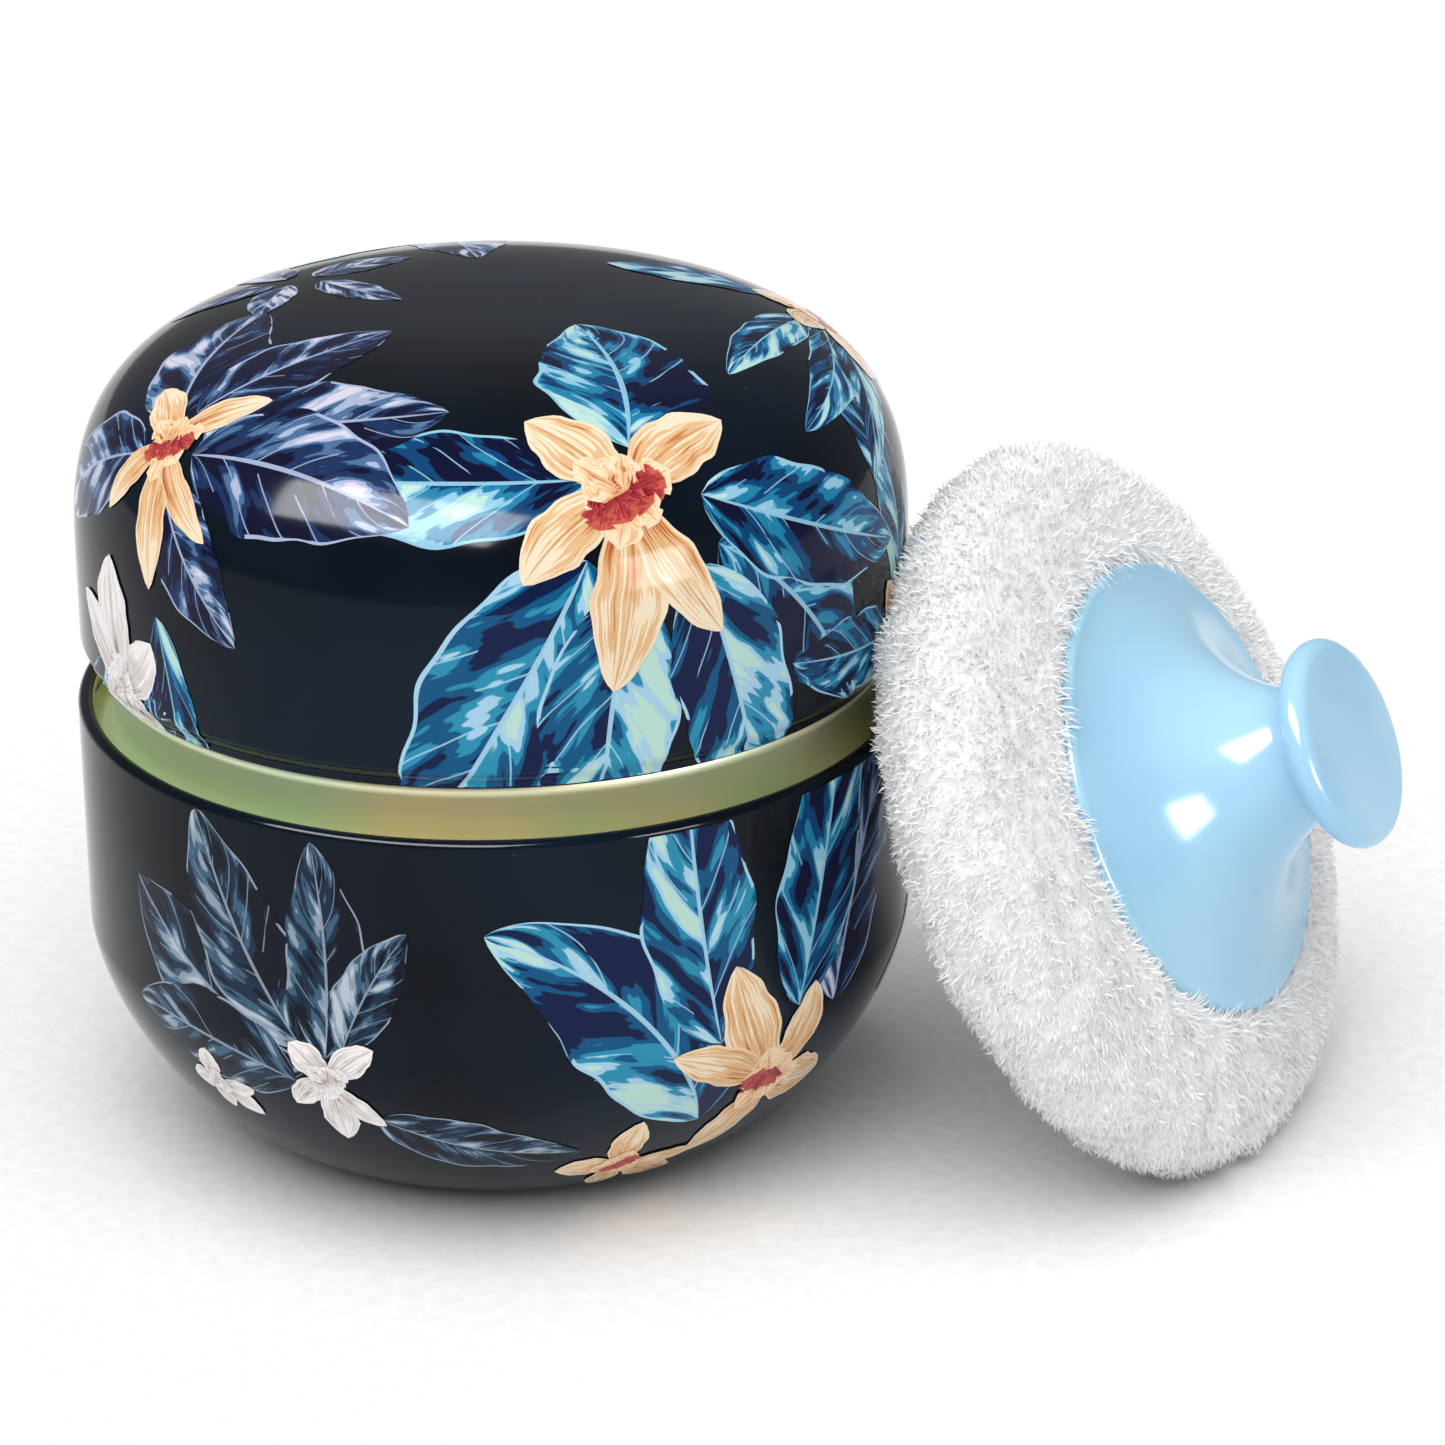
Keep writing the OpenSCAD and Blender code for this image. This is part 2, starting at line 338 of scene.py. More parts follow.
@dataclass(frozen=True)
class LeafInk(Finish):
    """Leaves printed on the tin, in one family of blues.

    It gives the eye the hard-edged brush strokes of a painted leaf: a dark ground, strokes that run out
    along the side veins, a pale midrib and a broken pale line round the edge.
    """

    name: str = "leaf_ink"
    roughness: float = 0.11
    deep: str = "#0B1030"
    middle: str = "#0B4170"
    bright: str = "#1F7EA4"
    pale: str = "#8FC3DA"
    glint: str = "#B9DDD2"
    veins: float = 6.5

    def material(self) -> bpy.types.Material:
        """Builds the leaf's material from its own length-and-breadth map.

        Returns:
            The material.
        """
        made = self.start(Specular_IOR_Level=GLOSS)
        tree = made[1]
        along, across = map_of(tree, "leaf")
        seed, tone = map_of(tree, "mark")
        side = across - 0.5
        out = abs(side) * 2.0
        rib = (along - out * 0.26) * self.veins
        half = side.over(0.0) * 5.3
        shift = seed * 61.0 + half
        stroke = noise(tree, (rib * 1.3, out * 0.8, shift), 1.0, 2.6, 0.52)
        wash = noise(tree, (along, across, shift), 3.2, 1.0)
        level = stroke + (half - 2.6) * 0.018 + ((wash - 0.5) * 0.6 + (tone - 0.5) * 0.2)
        colour = ramp(
            tree, level, (0.425, self.deep), (0.44, self.middle), (0.515, self.middle), (0.53, self.bright),
            (0.59, self.bright), (0.605, self.pale), (0.66, self.pale), (0.68, self.glint),
        )
        vein = abs(rib.fraction() - 0.5).over(0.474) * stroke.over(0.47)
        edge = out.over(0.945) * wash.over(0.47)
        for share in (vein * 0.75, out.under(0.034) * 0.9, edge):
            colour = blended(tree, share, colour, self.pale)
        return self.painted(made, colour)


@dataclass(frozen=True)
class PetalInk(Finish):
    """Petals printed on the tin.

    It gives the eye a cream petal with fine streaks that start dark at the heart and fade towards a
    lighter, lined edge.
    """

    name: str = "petal_ink"
    roughness: float = 0.11
    heart: str = "#B4532E"
    streak: str = "#CB8A52"
    body: str = "#E3B989"
    rim: str = "#F3E0C4"

    def material(self) -> bpy.types.Material:
        """Builds the petal's material from its own length-and-breadth map.

        Returns:
            The material.
        """
        made = self.start(Specular_IOR_Level=GLOSS)
        tree = made[1]
        along, across = map_of(tree, "leaf")
        shift = map_of(tree, "mark")[0] * 47.0
        out = abs(across - 0.5) * 2.0
        lines = noise(tree, (along * 1.6, across * 15.0, shift), 1.4, 3.0)
        wash = noise(tree, (along, across, shift), 3.0, 1.5)
        colour = ramp(
            tree, along * 0.36 + (lines + wash * 0.5), (0.66, self.heart), (0.76, self.streak),
            (0.84, self.body), (0.99, self.body), (1.0, self.rim),
        )
        colour = blended(tree, out.under(0.05) * 0.6, colour, self.streak)
        return self.painted(made, blended(tree, out.over(0.88) * 0.6, colour, self.rim))


@dataclass(frozen=True)
class GoldTinplate(Finish):
    """Tinplate under a gold stoving lacquer, burnished while it turned.

    It gives the eye a pale, slightly green gold with soft reflections drawn out round the collar. Its
    burnish is drawn coarser than a real one, which would be too fine to show.
    """

    name: str = "gold_lacquered_tinplate"
    roughness: float = 0.42
    warm: str = "#E9E2BE"
    green: str = "#D6E3C2"

    def material(self) -> bpy.types.Material:
        """Builds the gold's material.

        Returns:
            The material.
        """
        made = self.start(Metallic=0.6)
        tree = made[1]
        self.grain(made, size_mm=3.0, depth_mm=0.004, stretch=(0.25, 0.25, 6.0))
        cloud = clouds(tree, 22)
        limits = {0: cloud, "To Min": self.roughness - 0.05, "To Max": self.roughness + 0.07}
        worn = add_node(tree, "ShaderNodeMapRange", limits)
        tree.links.new(worn.outputs[0], made[2].inputs["Roughness"])
        return self.painted(made, ramp(tree, cloud, (0.38, self.warm), (0.62, self.green)))


@dataclass(frozen=True)
class Moulding(Finish):
    """A moulded plastic.

    It gives the eye one clean colour that varies a little with the flow of the melt, over the very fine
    texture that the mould leaves.
    """

    name: str = "polystyrene_moulding"
    roughness: float = 0.16
    colour: str = "#A2D1ED"
    flow: str = "#ADD8F0"
    glow: float = 0.3
    grain_mm: float = 0.9
    depth_mm: float = 0.0015

    def material(self) -> bpy.types.Material:
        """Builds the plastic's material.

        Returns:
            The material.
        """
        made = self.start(
            IOR=1.5, Subsurface_Weight=self.glow, Subsurface_Radius=(1.2 * MM, 2.0 * MM, 2.6 * MM),
            Subsurface_Scale=1.0,
        )
        self.grain(made, self.grain_mm, self.depth_mm, detail=1.0)
        cloud = clouds(made[1], 16, detail=1.0)
        return self.painted(made, ramp(made[1], cloud, (0.35, self.colour), (0.65, self.flow)))


@dataclass(frozen=True)
class Grained(Finish):
    """A finish whose grain also carries painted shade: its colour is a little darker in its hollows."""

    # painted shade: the colour in the grain's hollows
    hollow: str
    top: str
    grain_mm: float
    depth_mm: float
    stretch: Stretch = (1, 1, 1)
    detail: float = 3.0
    shade: Point = (0.3, 0.62)
    sockets: tuple = ()

    def material(self) -> bpy.types.Material:
        """Builds the material.

        Returns:
            The material.
        """
        made = self.start(**dict(self.sockets))
        level = self.grain(made, self.grain_mm, self.depth_mm, self.stretch, self.detail)
        low, high = self.shade
        # Painted shade: the colour runs from the hollow colour in the grain's low places to the top colour on
        # its high ones.
        return self.painted(made, ramp(made[1], level, (low, self.hollow), (high, self.top)))


@dataclass(frozen=True)
class Plush(Grained):
    """Short-pile polyester plush, knitted and brushed.

    It gives the eye a soft white with a bright rim where the pile is seen side on, and a faint grey
    painted shade in the hollows between the tufts.
    """

    name: str = "polyester_plush"
    roughness: float = 0.95
    # painted shade: the grey in the hollows between the tufts
    hollow: str = "#E0E0E0"
    top: str = "#F0F0F0"
    grain_mm: float = 1.2
    depth_mm: float = 0.3
    detail: float = 4.0
    shade: Point = (0.3, 0.6)
    sockets: tuple = (("Sheen_Weight", 0.35), ("Sheen_Roughness", 0.5), ("Specular_IOR_Level", 0.1))


@dataclass(frozen=True)
class Crumb(Grained):
    """A matt material made of small grains or cells, such as settled talc, foam or twisted thread.

    It gives the eye a soft, dry surface. Its grain is drawn coarser than real talc's, so that it shows.
    """

    name: str = "settled_talc"
    roughness: float = 0.95
    # painted shade: the colour in the hollows of the grain
    hollow: str = "#DAD8D2"
    top: str = "#F8F6F1"
    grain_mm: float = 1.4
    depth_mm: float = 0.25
    detail: float = 5.0
    sockets: tuple = (("Specular_IOR_Level", 0.2),)


@dataclass(frozen=True)
class ZincSteel(Grained):
    """Turned steel with a bright zinc plating.

    It gives the eye a cool grey metal with fine turning lines.
    """

    name: str = "zinc_plated_steel"
    roughness: float = 0.32
    # painted shade: the colour in the grooves of the turning lines
    hollow: str = "#A3A7AC"
    top: str = "#B9BDC2"
    grain_mm: float = 0.5
    depth_mm: float = 0.02
    stretch: Stretch = (0.3, 0.3, 3.0)
    shade: Point = (0.35, 0.65)
    sockets: tuple = (("Metallic", 1.0),)


@dataclass(frozen=True)
class PaperFloor(Grained):
    """Seamless white background paper.

    It gives the eye a pale, even floor with a trace of paper tooth.
    """

    name: str = "background_paper"
    roughness: float = 0.9
    # painted shade: the colour in the hollows of the paper tooth
    hollow: str = "#F1F1F1"
    top: str = "#F6F6F6"
    grain_mm: float = 2.0
    depth_mm: float = 0.02
    shade: Point = (0.4, 0.6)
    sockets: tuple = (("Specular_IOR_Level", 0.1),)


# ---------------------------------------------------------------- outlines


def arc(x: float, y: float, r: float, start: float, end: float, steps: int) -> Line:
    """Points on an arc.

    Args:
        x: Middle, outwards.
        y: Middle, upwards.
        r: Radius.
        start: First angle in degrees.
        end: Last angle in degrees.
        steps: How many steps the arc is made in.

    Returns:
        The points in order.
    """
    turns = [math.radians(start + (end - start) * i / steps) for i in range(steps + 1)]
    return [(x + r * math.cos(t), y + r * math.sin(t)) for t in turns]


def powered(value: float, power: float) -> float:
    """A sine or cosine raised to a power with its sign kept."""
    return math.copysign(abs(value) ** power, value)


def quarter_turn(steps: int) -> list[float]:
    """The angles of a quarter turn in even steps, in radians."""
    return [math.pi / 2 * i / steps for i in range(steps + 1)]


def unit(rows: np.ndarray) -> np.ndarray:
    """The same directions, one row each, with a length of 1."""
    return rows / np.linalg.norm(rows, axis=1)[:, None]


def beside(line: Line, distance: float) -> Line:
    """The line at a distance to the left of another, no further in than the axis.

    Args:
        line: The first line.
        distance: How far the new one lies from it.

    Returns:
        The new line's points.
    """
    p = np.array(line)
    steps = unit(np.diff(p, axis=0))
    left = np.stack([-steps[:, 1], steps[:, 0]], axis=1)
    before, after = np.vstack([left[:1], left]), np.vstack([left, left[-1:]])
    middle = unit(before + after)
    moved = p + middle * distance / (middle * before).sum(axis=1)[:, None]
    moved[:, 0] = np.maximum(moved[:, 0], 0)
    return [tuple(q) for q in moved]


def read(items: bpy.types.bpy_prop_collection, name: str, width: int = 3, kind: type = float) -> np.ndarray:
    """Reads one property of all points or faces of a mesh.

    Args:
        items: The mesh's points or faces.
        name: The property.
        width: How many numbers it has.
        kind: float or np.int32.

    Returns:
        The values, one row each where there is more than one number.
    """
    values = np.zeros(len(items) * width, kind)
    items.foreach_get(name, values)
    return values.reshape(-1, width) if width > 1 else values


def placed(name: str, data: bpy.types.ID) -> bpy.types.Object:
    """Puts a mesh, a light or a camera in the scene.

    Args:
        name: The object's name.
        data: What it shows.

    Returns:
        The new object.
    """
    made = bpy.data.objects.new(name, data)
    bpy.context.scene.collection.objects.link(made)
    return made


def smooth_piece(name: str, places: list, faces: list) -> bpy.types.Object:
    """Makes a smooth-shaded piece.

    Args:
        name: The piece's name.
        places: Its points in metres.
        faces: The points of each face.

    Returns:
        The new object.
    """
    mesh = bpy.data.meshes.new(name)
    mesh.from_pydata(places, [], faces)
    mesh.polygons.foreach_set("use_smooth", [True] * len(faces))
    return placed(name, mesh)


def turned(name: str, outline: Line, closed: bool, segments: int = 288) -> bpy.types.Object:
    """Turns an outline about the Z axis into a smooth mesh.

    Args:
        name: The piece's name.
        outline: (outwards, upwards) points in millimetres.
        closed: True if the last point joins the first.
        segments: How many steps go round.

    Returns:
        The new object, whose faces run outline step by outline step.
    """
    turns = np.linspace(0, 2 * math.pi, segments, endpoint=False)
    places, rings = [], []
    for r, z in outline:
        if r < 1e-6:
            rings.append(np.full(segments, len(places)))
            places.append((0.0, 0.0, z * MM))
        else:
            rings.append(np.arange(len(places), len(places) + segments))
            places += [(r * MM * math.cos(t), r * MM * math.sin(t), z * MM) for t in turns]
    pairs = list(zip(rings, rings[1:])) + ([(rings[-1], rings[0])] if closed else [])
    faces, steps = [], []
    for number, (low, high) in enumerate(pairs):
        for i in range(segments):
            j = (i + 1) % segments
            face = list(dict.fromkeys((int(low[i]), int(low[j]), int(high[j]), int(high[i]))))
            if len(face) > 2:
                faces.append(face)
                steps.append(number)
    made = smooth_piece(name, places, faces)
    made.data.attributes.new("step", "INT", "FACE").data.foreach_set("value", steps)
    return made


def dressed(piece: bpy.types.Object, *finishes: bpy.types.Material) -> bpy.types.Object:
    """Gives a piece its materials in place of those it has.

    Args:
        piece: The piece.
        finishes: Its materials, in the order of their slots.

    Returns:
        The same piece.
    """
    piece.data.materials.clear()
    for finish in finishes:
        piece.data.materials.append(finish)
    return piece


def two_sided(
    shell: bpy.types.Object, first: int, last: int, lacquer: bpy.types.Material, gold: bpy.types.Material
) -> bpy.types.Object:
    """Gives a turned shell its lacquer outside, and gold within.

    Args:
        shell: The turned shell.
        first: The first step of its outline that is lacquered.
        last: The first step after those.
        lacquer: The outside's material.
        gold: The inside's material.

    Returns:
        The same shell.
    """
    mesh = shell.data
    steps = read(mesh.attributes["step"].data, "value", 1, np.int32)
    dressed(shell, lacquer, gold)
    within = (steps < first) | (steps >= last)
    mesh.polygons.foreach_set("material_index", within.astype(np.int32))
    return shell


# ---------------------------------------------------------------- the tin


MOUTH_STEPS = 40  # steps round the bowl's mouth
MOUTH_OUTSIDE = 22  # those of them that are lacquered
HEM_STEPS = 18  # steps up the drawn-in foot of the lid, and half of those round its curl
BOWL_STEPS, DOME_STEPS = 72, 110  # steps along the drawn curves


@dataclass
class TinSizes:
    """The tin's sizes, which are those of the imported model."""

    body_r: float = 48.7
    body_h: float = 53.3
    base_r: float = 24.9
    base_curve_h: float = 26.4
    base_full: Point = (1.79, 1.56)
    base_ring_r: float = 18.0
    base_ring_h: float = 0.5
    mouth_curl_r: float = 0.9
    sheet_t: float = 0.3
    neck_r: float = 44.8
    band_h: float = 5.35
    neck_overlap: float = 5.35
    bead_r: float = 0.95
    bead_out: float = 0.15
    lip_r: float = 0.6
    groove_depth: float = 4.0
    skirt_h: float = 4.0
    step_r: float = 1.0
    press_gap: float = 0.02
    stop_gap: float = 0.05
    lid_r: float = 48.0
    lid_h: float = 40.35
    dome_h: float = 29.1
    dome_full: Point = (3.35, 3.03)
    hem_in: float = 1.2
    hem_h: float = 2.25
    hem_curl_r: float = 0.75

    @property
    def lid_edge_z(self) -> float:
        """Height of the lid's lower edge."""
        return self.body_h + self.band_h

    @property
    def dome_z(self) -> float:
        """Height at which the lid's straight side ends."""
        return self.lid_edge_z + self.lid_h - self.dome_h

    def bowl_side(self, steps: int) -> Line:
        """The bowl's outer line from the edge of its flat base to its straight side's foot.

        Args:
            steps: How many steps it is made in.

        Returns:
            The points in order.
        """
        across, up = self.base_full
        return [
            (self.base_r + (self.body_r - self.base_r) * powered(math.sin(t), 2 / across),
             self.base_curve_h * (1 - powered(max(math.cos(t), 0), 2 / up)))
            for t in quarter_turn(steps)
        ]

    def bowl_mouth(self) -> Line:
        """The curl at the bowl's mouth."""
        r = self.mouth_curl_r
        return arc(self.body_r - r, self.body_h - r, r, 0, 280, MOUTH_STEPS)

    def dome(self, steps: int) -> Line:
        """The lid's outer line from its straight side to its middle.

        Args:
            steps: How many steps it is made in.

        Returns:
            The points in order.
        """
        across, up = self.dome_full
        return [
            (self.lid_r * powered(max(math.cos(t), 0) if i < steps else 0, 2 / across),
             self.dome_z + self.dome_h * powered(math.sin(t), 2 / up))
            for i, t in enumerate(quarter_turn(steps))
        ]

    def hem(self) -> Line:
        """The curl and the drawn-in foot of the lid.

        Returns:
            The points in order.
        """
        r, middle = self.hem_curl_r, self.lid_r - self.hem_in - self.hem_curl_r
        foot = self.lid_edge_z + r
        ease = [math.pi * i / HEM_STEPS for i in range(1, HEM_STEPS + 1)]
        return arc(middle, foot, r, 80, 360, 2 * HEM_STEPS) + [
            (self.lid_r - self.hem_in * (1 + math.cos(t)) / 2, foot + self.hem_h * t / math.pi) for t in ease
        ]


@dataclass
class PrintedFace:
    """The outside of a round piece as directions seen from a point on its axis, for laying a print on it."""

    line: Line
    middle_z: float
    hem_top_z: float = 0.0
    hem_lift: float = 0.1
    span: float = 48.0

    def __post_init__(self) -> None:
        """Works out how far the face is in each direction."""
        p = np.array(self.line)
        rise = np.arctan2(p[:, 1] - self.middle_z, p[:, 0])
        order = np.argsort(rise)
        self.rise, self.line_r, self.line_z = rise[order], p[order, 0], p[order, 1]
        slope = np.gradient(p, axis=0)[order]
        if slope[len(slope) // 2, 1] < 0:
            slope = -slope
        size = np.linalg.norm(slope, axis=1)
        self.normal_r, self.normal_z = slope[:, 1] / size, -slope[:, 0] / size

    def lay(self, turn: float, rise: float, flat: np.ndarray, lift: float) -> tuple[np.ndarray, np.ndarray]:
        """Lays flat points on the face.

        Args:
            turn: Direction of the flat patch's origin, in degrees round the axis.
            rise: Its elevation in degrees.
            flat: (right, up) offsets in millimetres, one row each.
            lift: Height above the face in millimetres.

        Returns:
            The points in metres, and the face's normals there.
        """
        t, e = math.radians(turn), math.radians(rise)
        ahead = np.array([math.cos(e) * math.cos(t), math.cos(e) * math.sin(t), math.sin(e)])
        right = np.array([-math.sin(t), math.cos(t), 0.0])
        up = np.cross(ahead, right)
        far = np.hypot(flat[:, 0], flat[:, 1])
        angle = far / self.span
        share = np.divide(flat, np.maximum(far, 1e-9)[:, None])
        sideways = share[:, :1] * right + share[:, 1:] * up
        way = np.cos(angle)[:, None] * ahead + np.sin(angle)[:, None] * sideways
        rises = np.clip(np.arcsin(np.clip(way[:, 2], -1, 1)), self.rise[0], self.rise[-1])
        turns = np.arctan2(way[:, 1], way[:, 0])
        along = (self.line_r, self.line_z, self.normal_r, self.normal_z)
        r, z, nr, nz = (np.interp(rises, self.rise, values) for values in along)
        size = np.hypot(nr, nz)
        nr, nz = nr / size, nz / size
        rise_off = lift + self.hem_lift * (z < self.hem_top_z)
        r, z = r + nr * rise_off, z + nz * rise_off
        places = np.stack([r * np.cos(turns), r * np.sin(turns), z], axis=1) * MM
        normals = np.stack([nr * np.cos(turns), nr * np.sin(turns), nz], axis=1)
        return places, normals


class Ink(Enum):
    """The inks of the floral print, in the order of the print's material slots."""

    BLUE_LEAF = 0
    TEAL_LEAF = 1
    PLUM_LEAF = 2
    SMOKE_LEAF = 3
    CREAM_PETAL = 4
    PALE_PETAL = 5
    FRILLED_LIP = 6
    RED_HEART = 7


def inks() -> list[bpy.types.Material]:
    """Makes the print's materials.

    Returns:
        The materials, in the order of Ink.
    """
    return [
        LeafInk("blue_leaf_ink").material(),
        LeafInk("teal_leaf_ink", deep="#0B1B44", middle="#0C5380", bright="#2A8CAE",
                pale="#A3CDE4").material(),
        LeafInk("plum_leaf_ink", deep="#10122E", middle="#1B3058", bright="#4A6C93", pale="#A4B0CC",
                glint="#D3CFE0").material(),
        LeafInk("smoke_leaf_ink", deep="#0C1220", middle="#182C42", bright="#3C5C76", pale="#8A9BAC",
                glint="#B5BFC8").material(),
        PetalInk("cream_petal_ink").material(),
        PetalInk("pale_petal_ink", heart="#8A6A5C", streak="#B9A79C", body="#D9D3D2",
                 rim="#F3EFEE").material(),
        PetalInk("frilled_lip_ink", heart="#A8442E", streak="#CF7F4E", body="#EDBE8E",
                 rim="#F9DDBB").material(),
        PetalInk("red_heart_ink", heart="#6E1528", streak="#8E2033", body="#A93A3C",
                 rim="#C9604E").material(),
    ]


GRID_PER_MM = 1.5  # how many faces a patch of ink has to a millimetre
FULLNESS = 0.72  # how full a leaf or petal is: 1 is a sine, less is fuller
GOLDEN = 0.6180339887  # spreads the seeds of the patches evenly
FLOWER_LEVEL = 7  # the layer of a flower's lowest petal, over all leaves


@dataclass
class Print:
    """A floral print: patches of ink that follow the tin's face, in layers 0.014 mm apart."""

    face: PrintedFace
    floor_lift: float = 0.03
    layer: float = 0.014
    spray_share: float = 0.43
    places: list = field(default_factory=list)
    normals: list = field(default_factory=list)
    faces: list = field(default_factory=list)
    leaf_map: list = field(default_factory=list)
    mark_map: list = field(default_factory=list)
    slots: list = field(default_factory=list)
    spots: list = field(default_factory=list)
    count: int = 0

    def patch(
        self, spot: Point, ink: Ink, start: Point, heading: float, length: float, width: float,
        bend: float = 0.0, tip: float = 0.8, wave: float = 0.04, level: int = 0, tone: float = 0.5,
        foot: float = 0.0,
    ) -> None:
        """Prints one leaf or petal.

        Args:
            spot: (turn, rise) of the spray's middle in degrees.
            ink: The ink it is printed in.
            start: Where its stalk begins, (right, up) of the spot in millimetres.
            heading: The way it points, in degrees from the right.
            length: Its length.
            width: Its greatest breadth.
            bend: How far it turns from stalk to tip, in degrees.
            tip: How blunt the tip is: 0.5 is round, 1.2 is drawn out.
            wave: How much its edge wanders, as a share of its breadth.
            level: The layer it lies in.
            tone: From 0, dark, to 1, light.
            foot: Its breadth where it starts, as a share of the greatest.
        """
        if spot not in self.spots:
            self.spots.append(spot)
        rows, columns = max(10, int(length * GRID_PER_MM)), max(8, int(width * GRID_PER_MM) // 2 * 2)
        u = np.linspace(0, 1, rows + 1)
        v = np.linspace(-1, 1, columns + 1)
        turns = np.radians(heading + bend * (u - 0.5))
        step = length / rows
        middle = np.zeros((rows + 1, 2))
        ways = (turns[1:] + turns[:-1]) / 2
        middle[1:, 0] = np.cumsum(np.cos(ways)) * step
        middle[1:, 1] = np.cumsum(np.sin(ways)) * step
        middle += np.array(start)
        shape = np.power(np.sin(math.pi * np.power(u, tip)).clip(0, 1), FULLNESS)
        shape = np.maximum(shape / shape.max(), foot * (1 - u))
        half = width / 2 * shape
        number = self.count
        ripple = 1 + wave * np.sin(u * 17 + number * 1.7) + wave * 0.6 * np.sin(u * 31 + number * 2.9)
        across = np.stack([-np.sin(turns), np.cos(turns)], axis=1)
        flat = middle[:, None, :] + across[:, None, :] * (half * ripple)[:, None, None] * v[None, :, None]
        lift = self.floor_lift + self.layer * (level + self.spots.index(spot) * self.spray_share % 1)
        places, normals = self.face.lay(spot[0], spot[1], flat.reshape(-1, 2), lift)
        rise = np.arctan2(places[:, 2] / MM - self.face.middle_z, np.hypot(places[:, 0], places[:, 1]) / MM)
        edge = (rise < self.face.rise[0] + 2e-3) | (rise > self.face.rise[-1] - 2e-4)
        base = sum(len(p) for p in self.places)
        seed = (number * GOLDEN) % 1.0
        for i in range(rows):
            for j in range(columns):
                corner = [i * (columns + 1) + j, i * (columns + 1) + j + 1,
                          (i + 1) * (columns + 1) + j + 1, (i + 1) * (columns + 1) + j]
                if all(edge[c] for c in corner):
                    continue
                self.faces.append([base + c for c in reversed(corner)])
                self.leaf_map += [
                    (u[c // (columns + 1)], (v[c % (columns + 1)] + 1) / 2) for c in reversed(corner)
                ]
                self.mark_map += [(seed, tone)] * 4
                self.slots.append(ink.value)
        self.places.append(places)
        self.normals.append(normals)
        self.count += 1

    def orchid(
        self, spot: Point, ink: Ink, reach: float, breadth: float, turn: float = 0.0,
        start: Point = (0, 0), lip: bool = True,
    ) -> None:
        """Prints one open flower of five petals and a frilled lip.

        Args:
            spot: (turn, rise) of the spray's middle in degrees.
            ink: The petals' ink.
            reach: Length of the longest petal.
            breadth: Breadth of a petal.
            turn: How far the flower is turned, in degrees.
            start: The flower's middle, (right, up) of the spot in millimetres.
            lip: True if it has a frilled lip and a red heart.
        """
        level = FLOWER_LEVEL
        petals = [(126, 0.64, 0.9, 20), (28, 0.78, 0.82, -26), (212, 0.7, 0.72, 32), (260, 1.0, 0.92, -14),
                  (302, 0.88, 0.66, 22)]
        for number, (way, share, wide, bend) in enumerate(petals):
            self.patch(spot, ink, start, way + turn, reach * share, breadth * wide, bend, tip=1.1,
                       wave=0.05, level=level + number, tone=0.5, foot=0.45)
        lip_ink, heart_ink = (Ink.FRILLED_LIP, Ink.RED_HEART) if lip else (ink, ink)
        for number in range(6):
            way = 58 * number + turn + 20
            self.patch(spot, lip_ink, start, way, reach * (0.22 if number % 2 else 0.29), breadth * 0.5,
                       tip=1.3, wave=0.2, level=level + 5 + number % 2, tone=0.4, foot=0.5)
        for number in range(4):
            side = reach * (0.07 * number - 0.12)
            self.patch(spot, heart_ink, (start[0] + side, start[1] + side * 0.3), 250 + 40 * number + turn,
                       reach * 0.14, breadth * 0.42, tip=1.2, wave=0.2, level=level + 7 + number % 2,
                       tone=0.1, foot=0.9)

    def leaves(self, spot: Point, ink: Ink, rows: list) -> None:
        """Prints a fan of leaves.

        Args:
            spot: (turn, rise) of the spray's middle in degrees.
            ink: Their ink.
            rows: One (right, up, heading, length, width, bend, level, tone) each.
        """
        for right, up, heading, length, width, bend, level, tone in rows:
            self.patch(spot, ink, (right, up), heading, length, width, bend, level=level, tone=tone)

    def piece(self, name: str, materials: list[bpy.types.Material]) -> bpy.types.Object:
        """Joins the patches into one piece.

        Args:
            name: The piece's name.
            materials: The inks, in the order of Ink.

        Returns:
            The new object.
        """
        made = smooth_piece(name, np.vstack(self.places).tolist(), self.faces)
        mesh = made.data
        for layer, values in (("leaf", self.leaf_map), ("mark", self.mark_map)):
            uv = mesh.uv_layers.new(name=layer)
            uv.data.foreach_set("uv", np.array(values, np.float32).ravel())
        mesh.normals_split_custom_set_from_vertices(np.vstack(self.normals).tolist())
        dressed(made, *materials)
        mesh.polygons.foreach_set("material_index", self.slots)
        return made


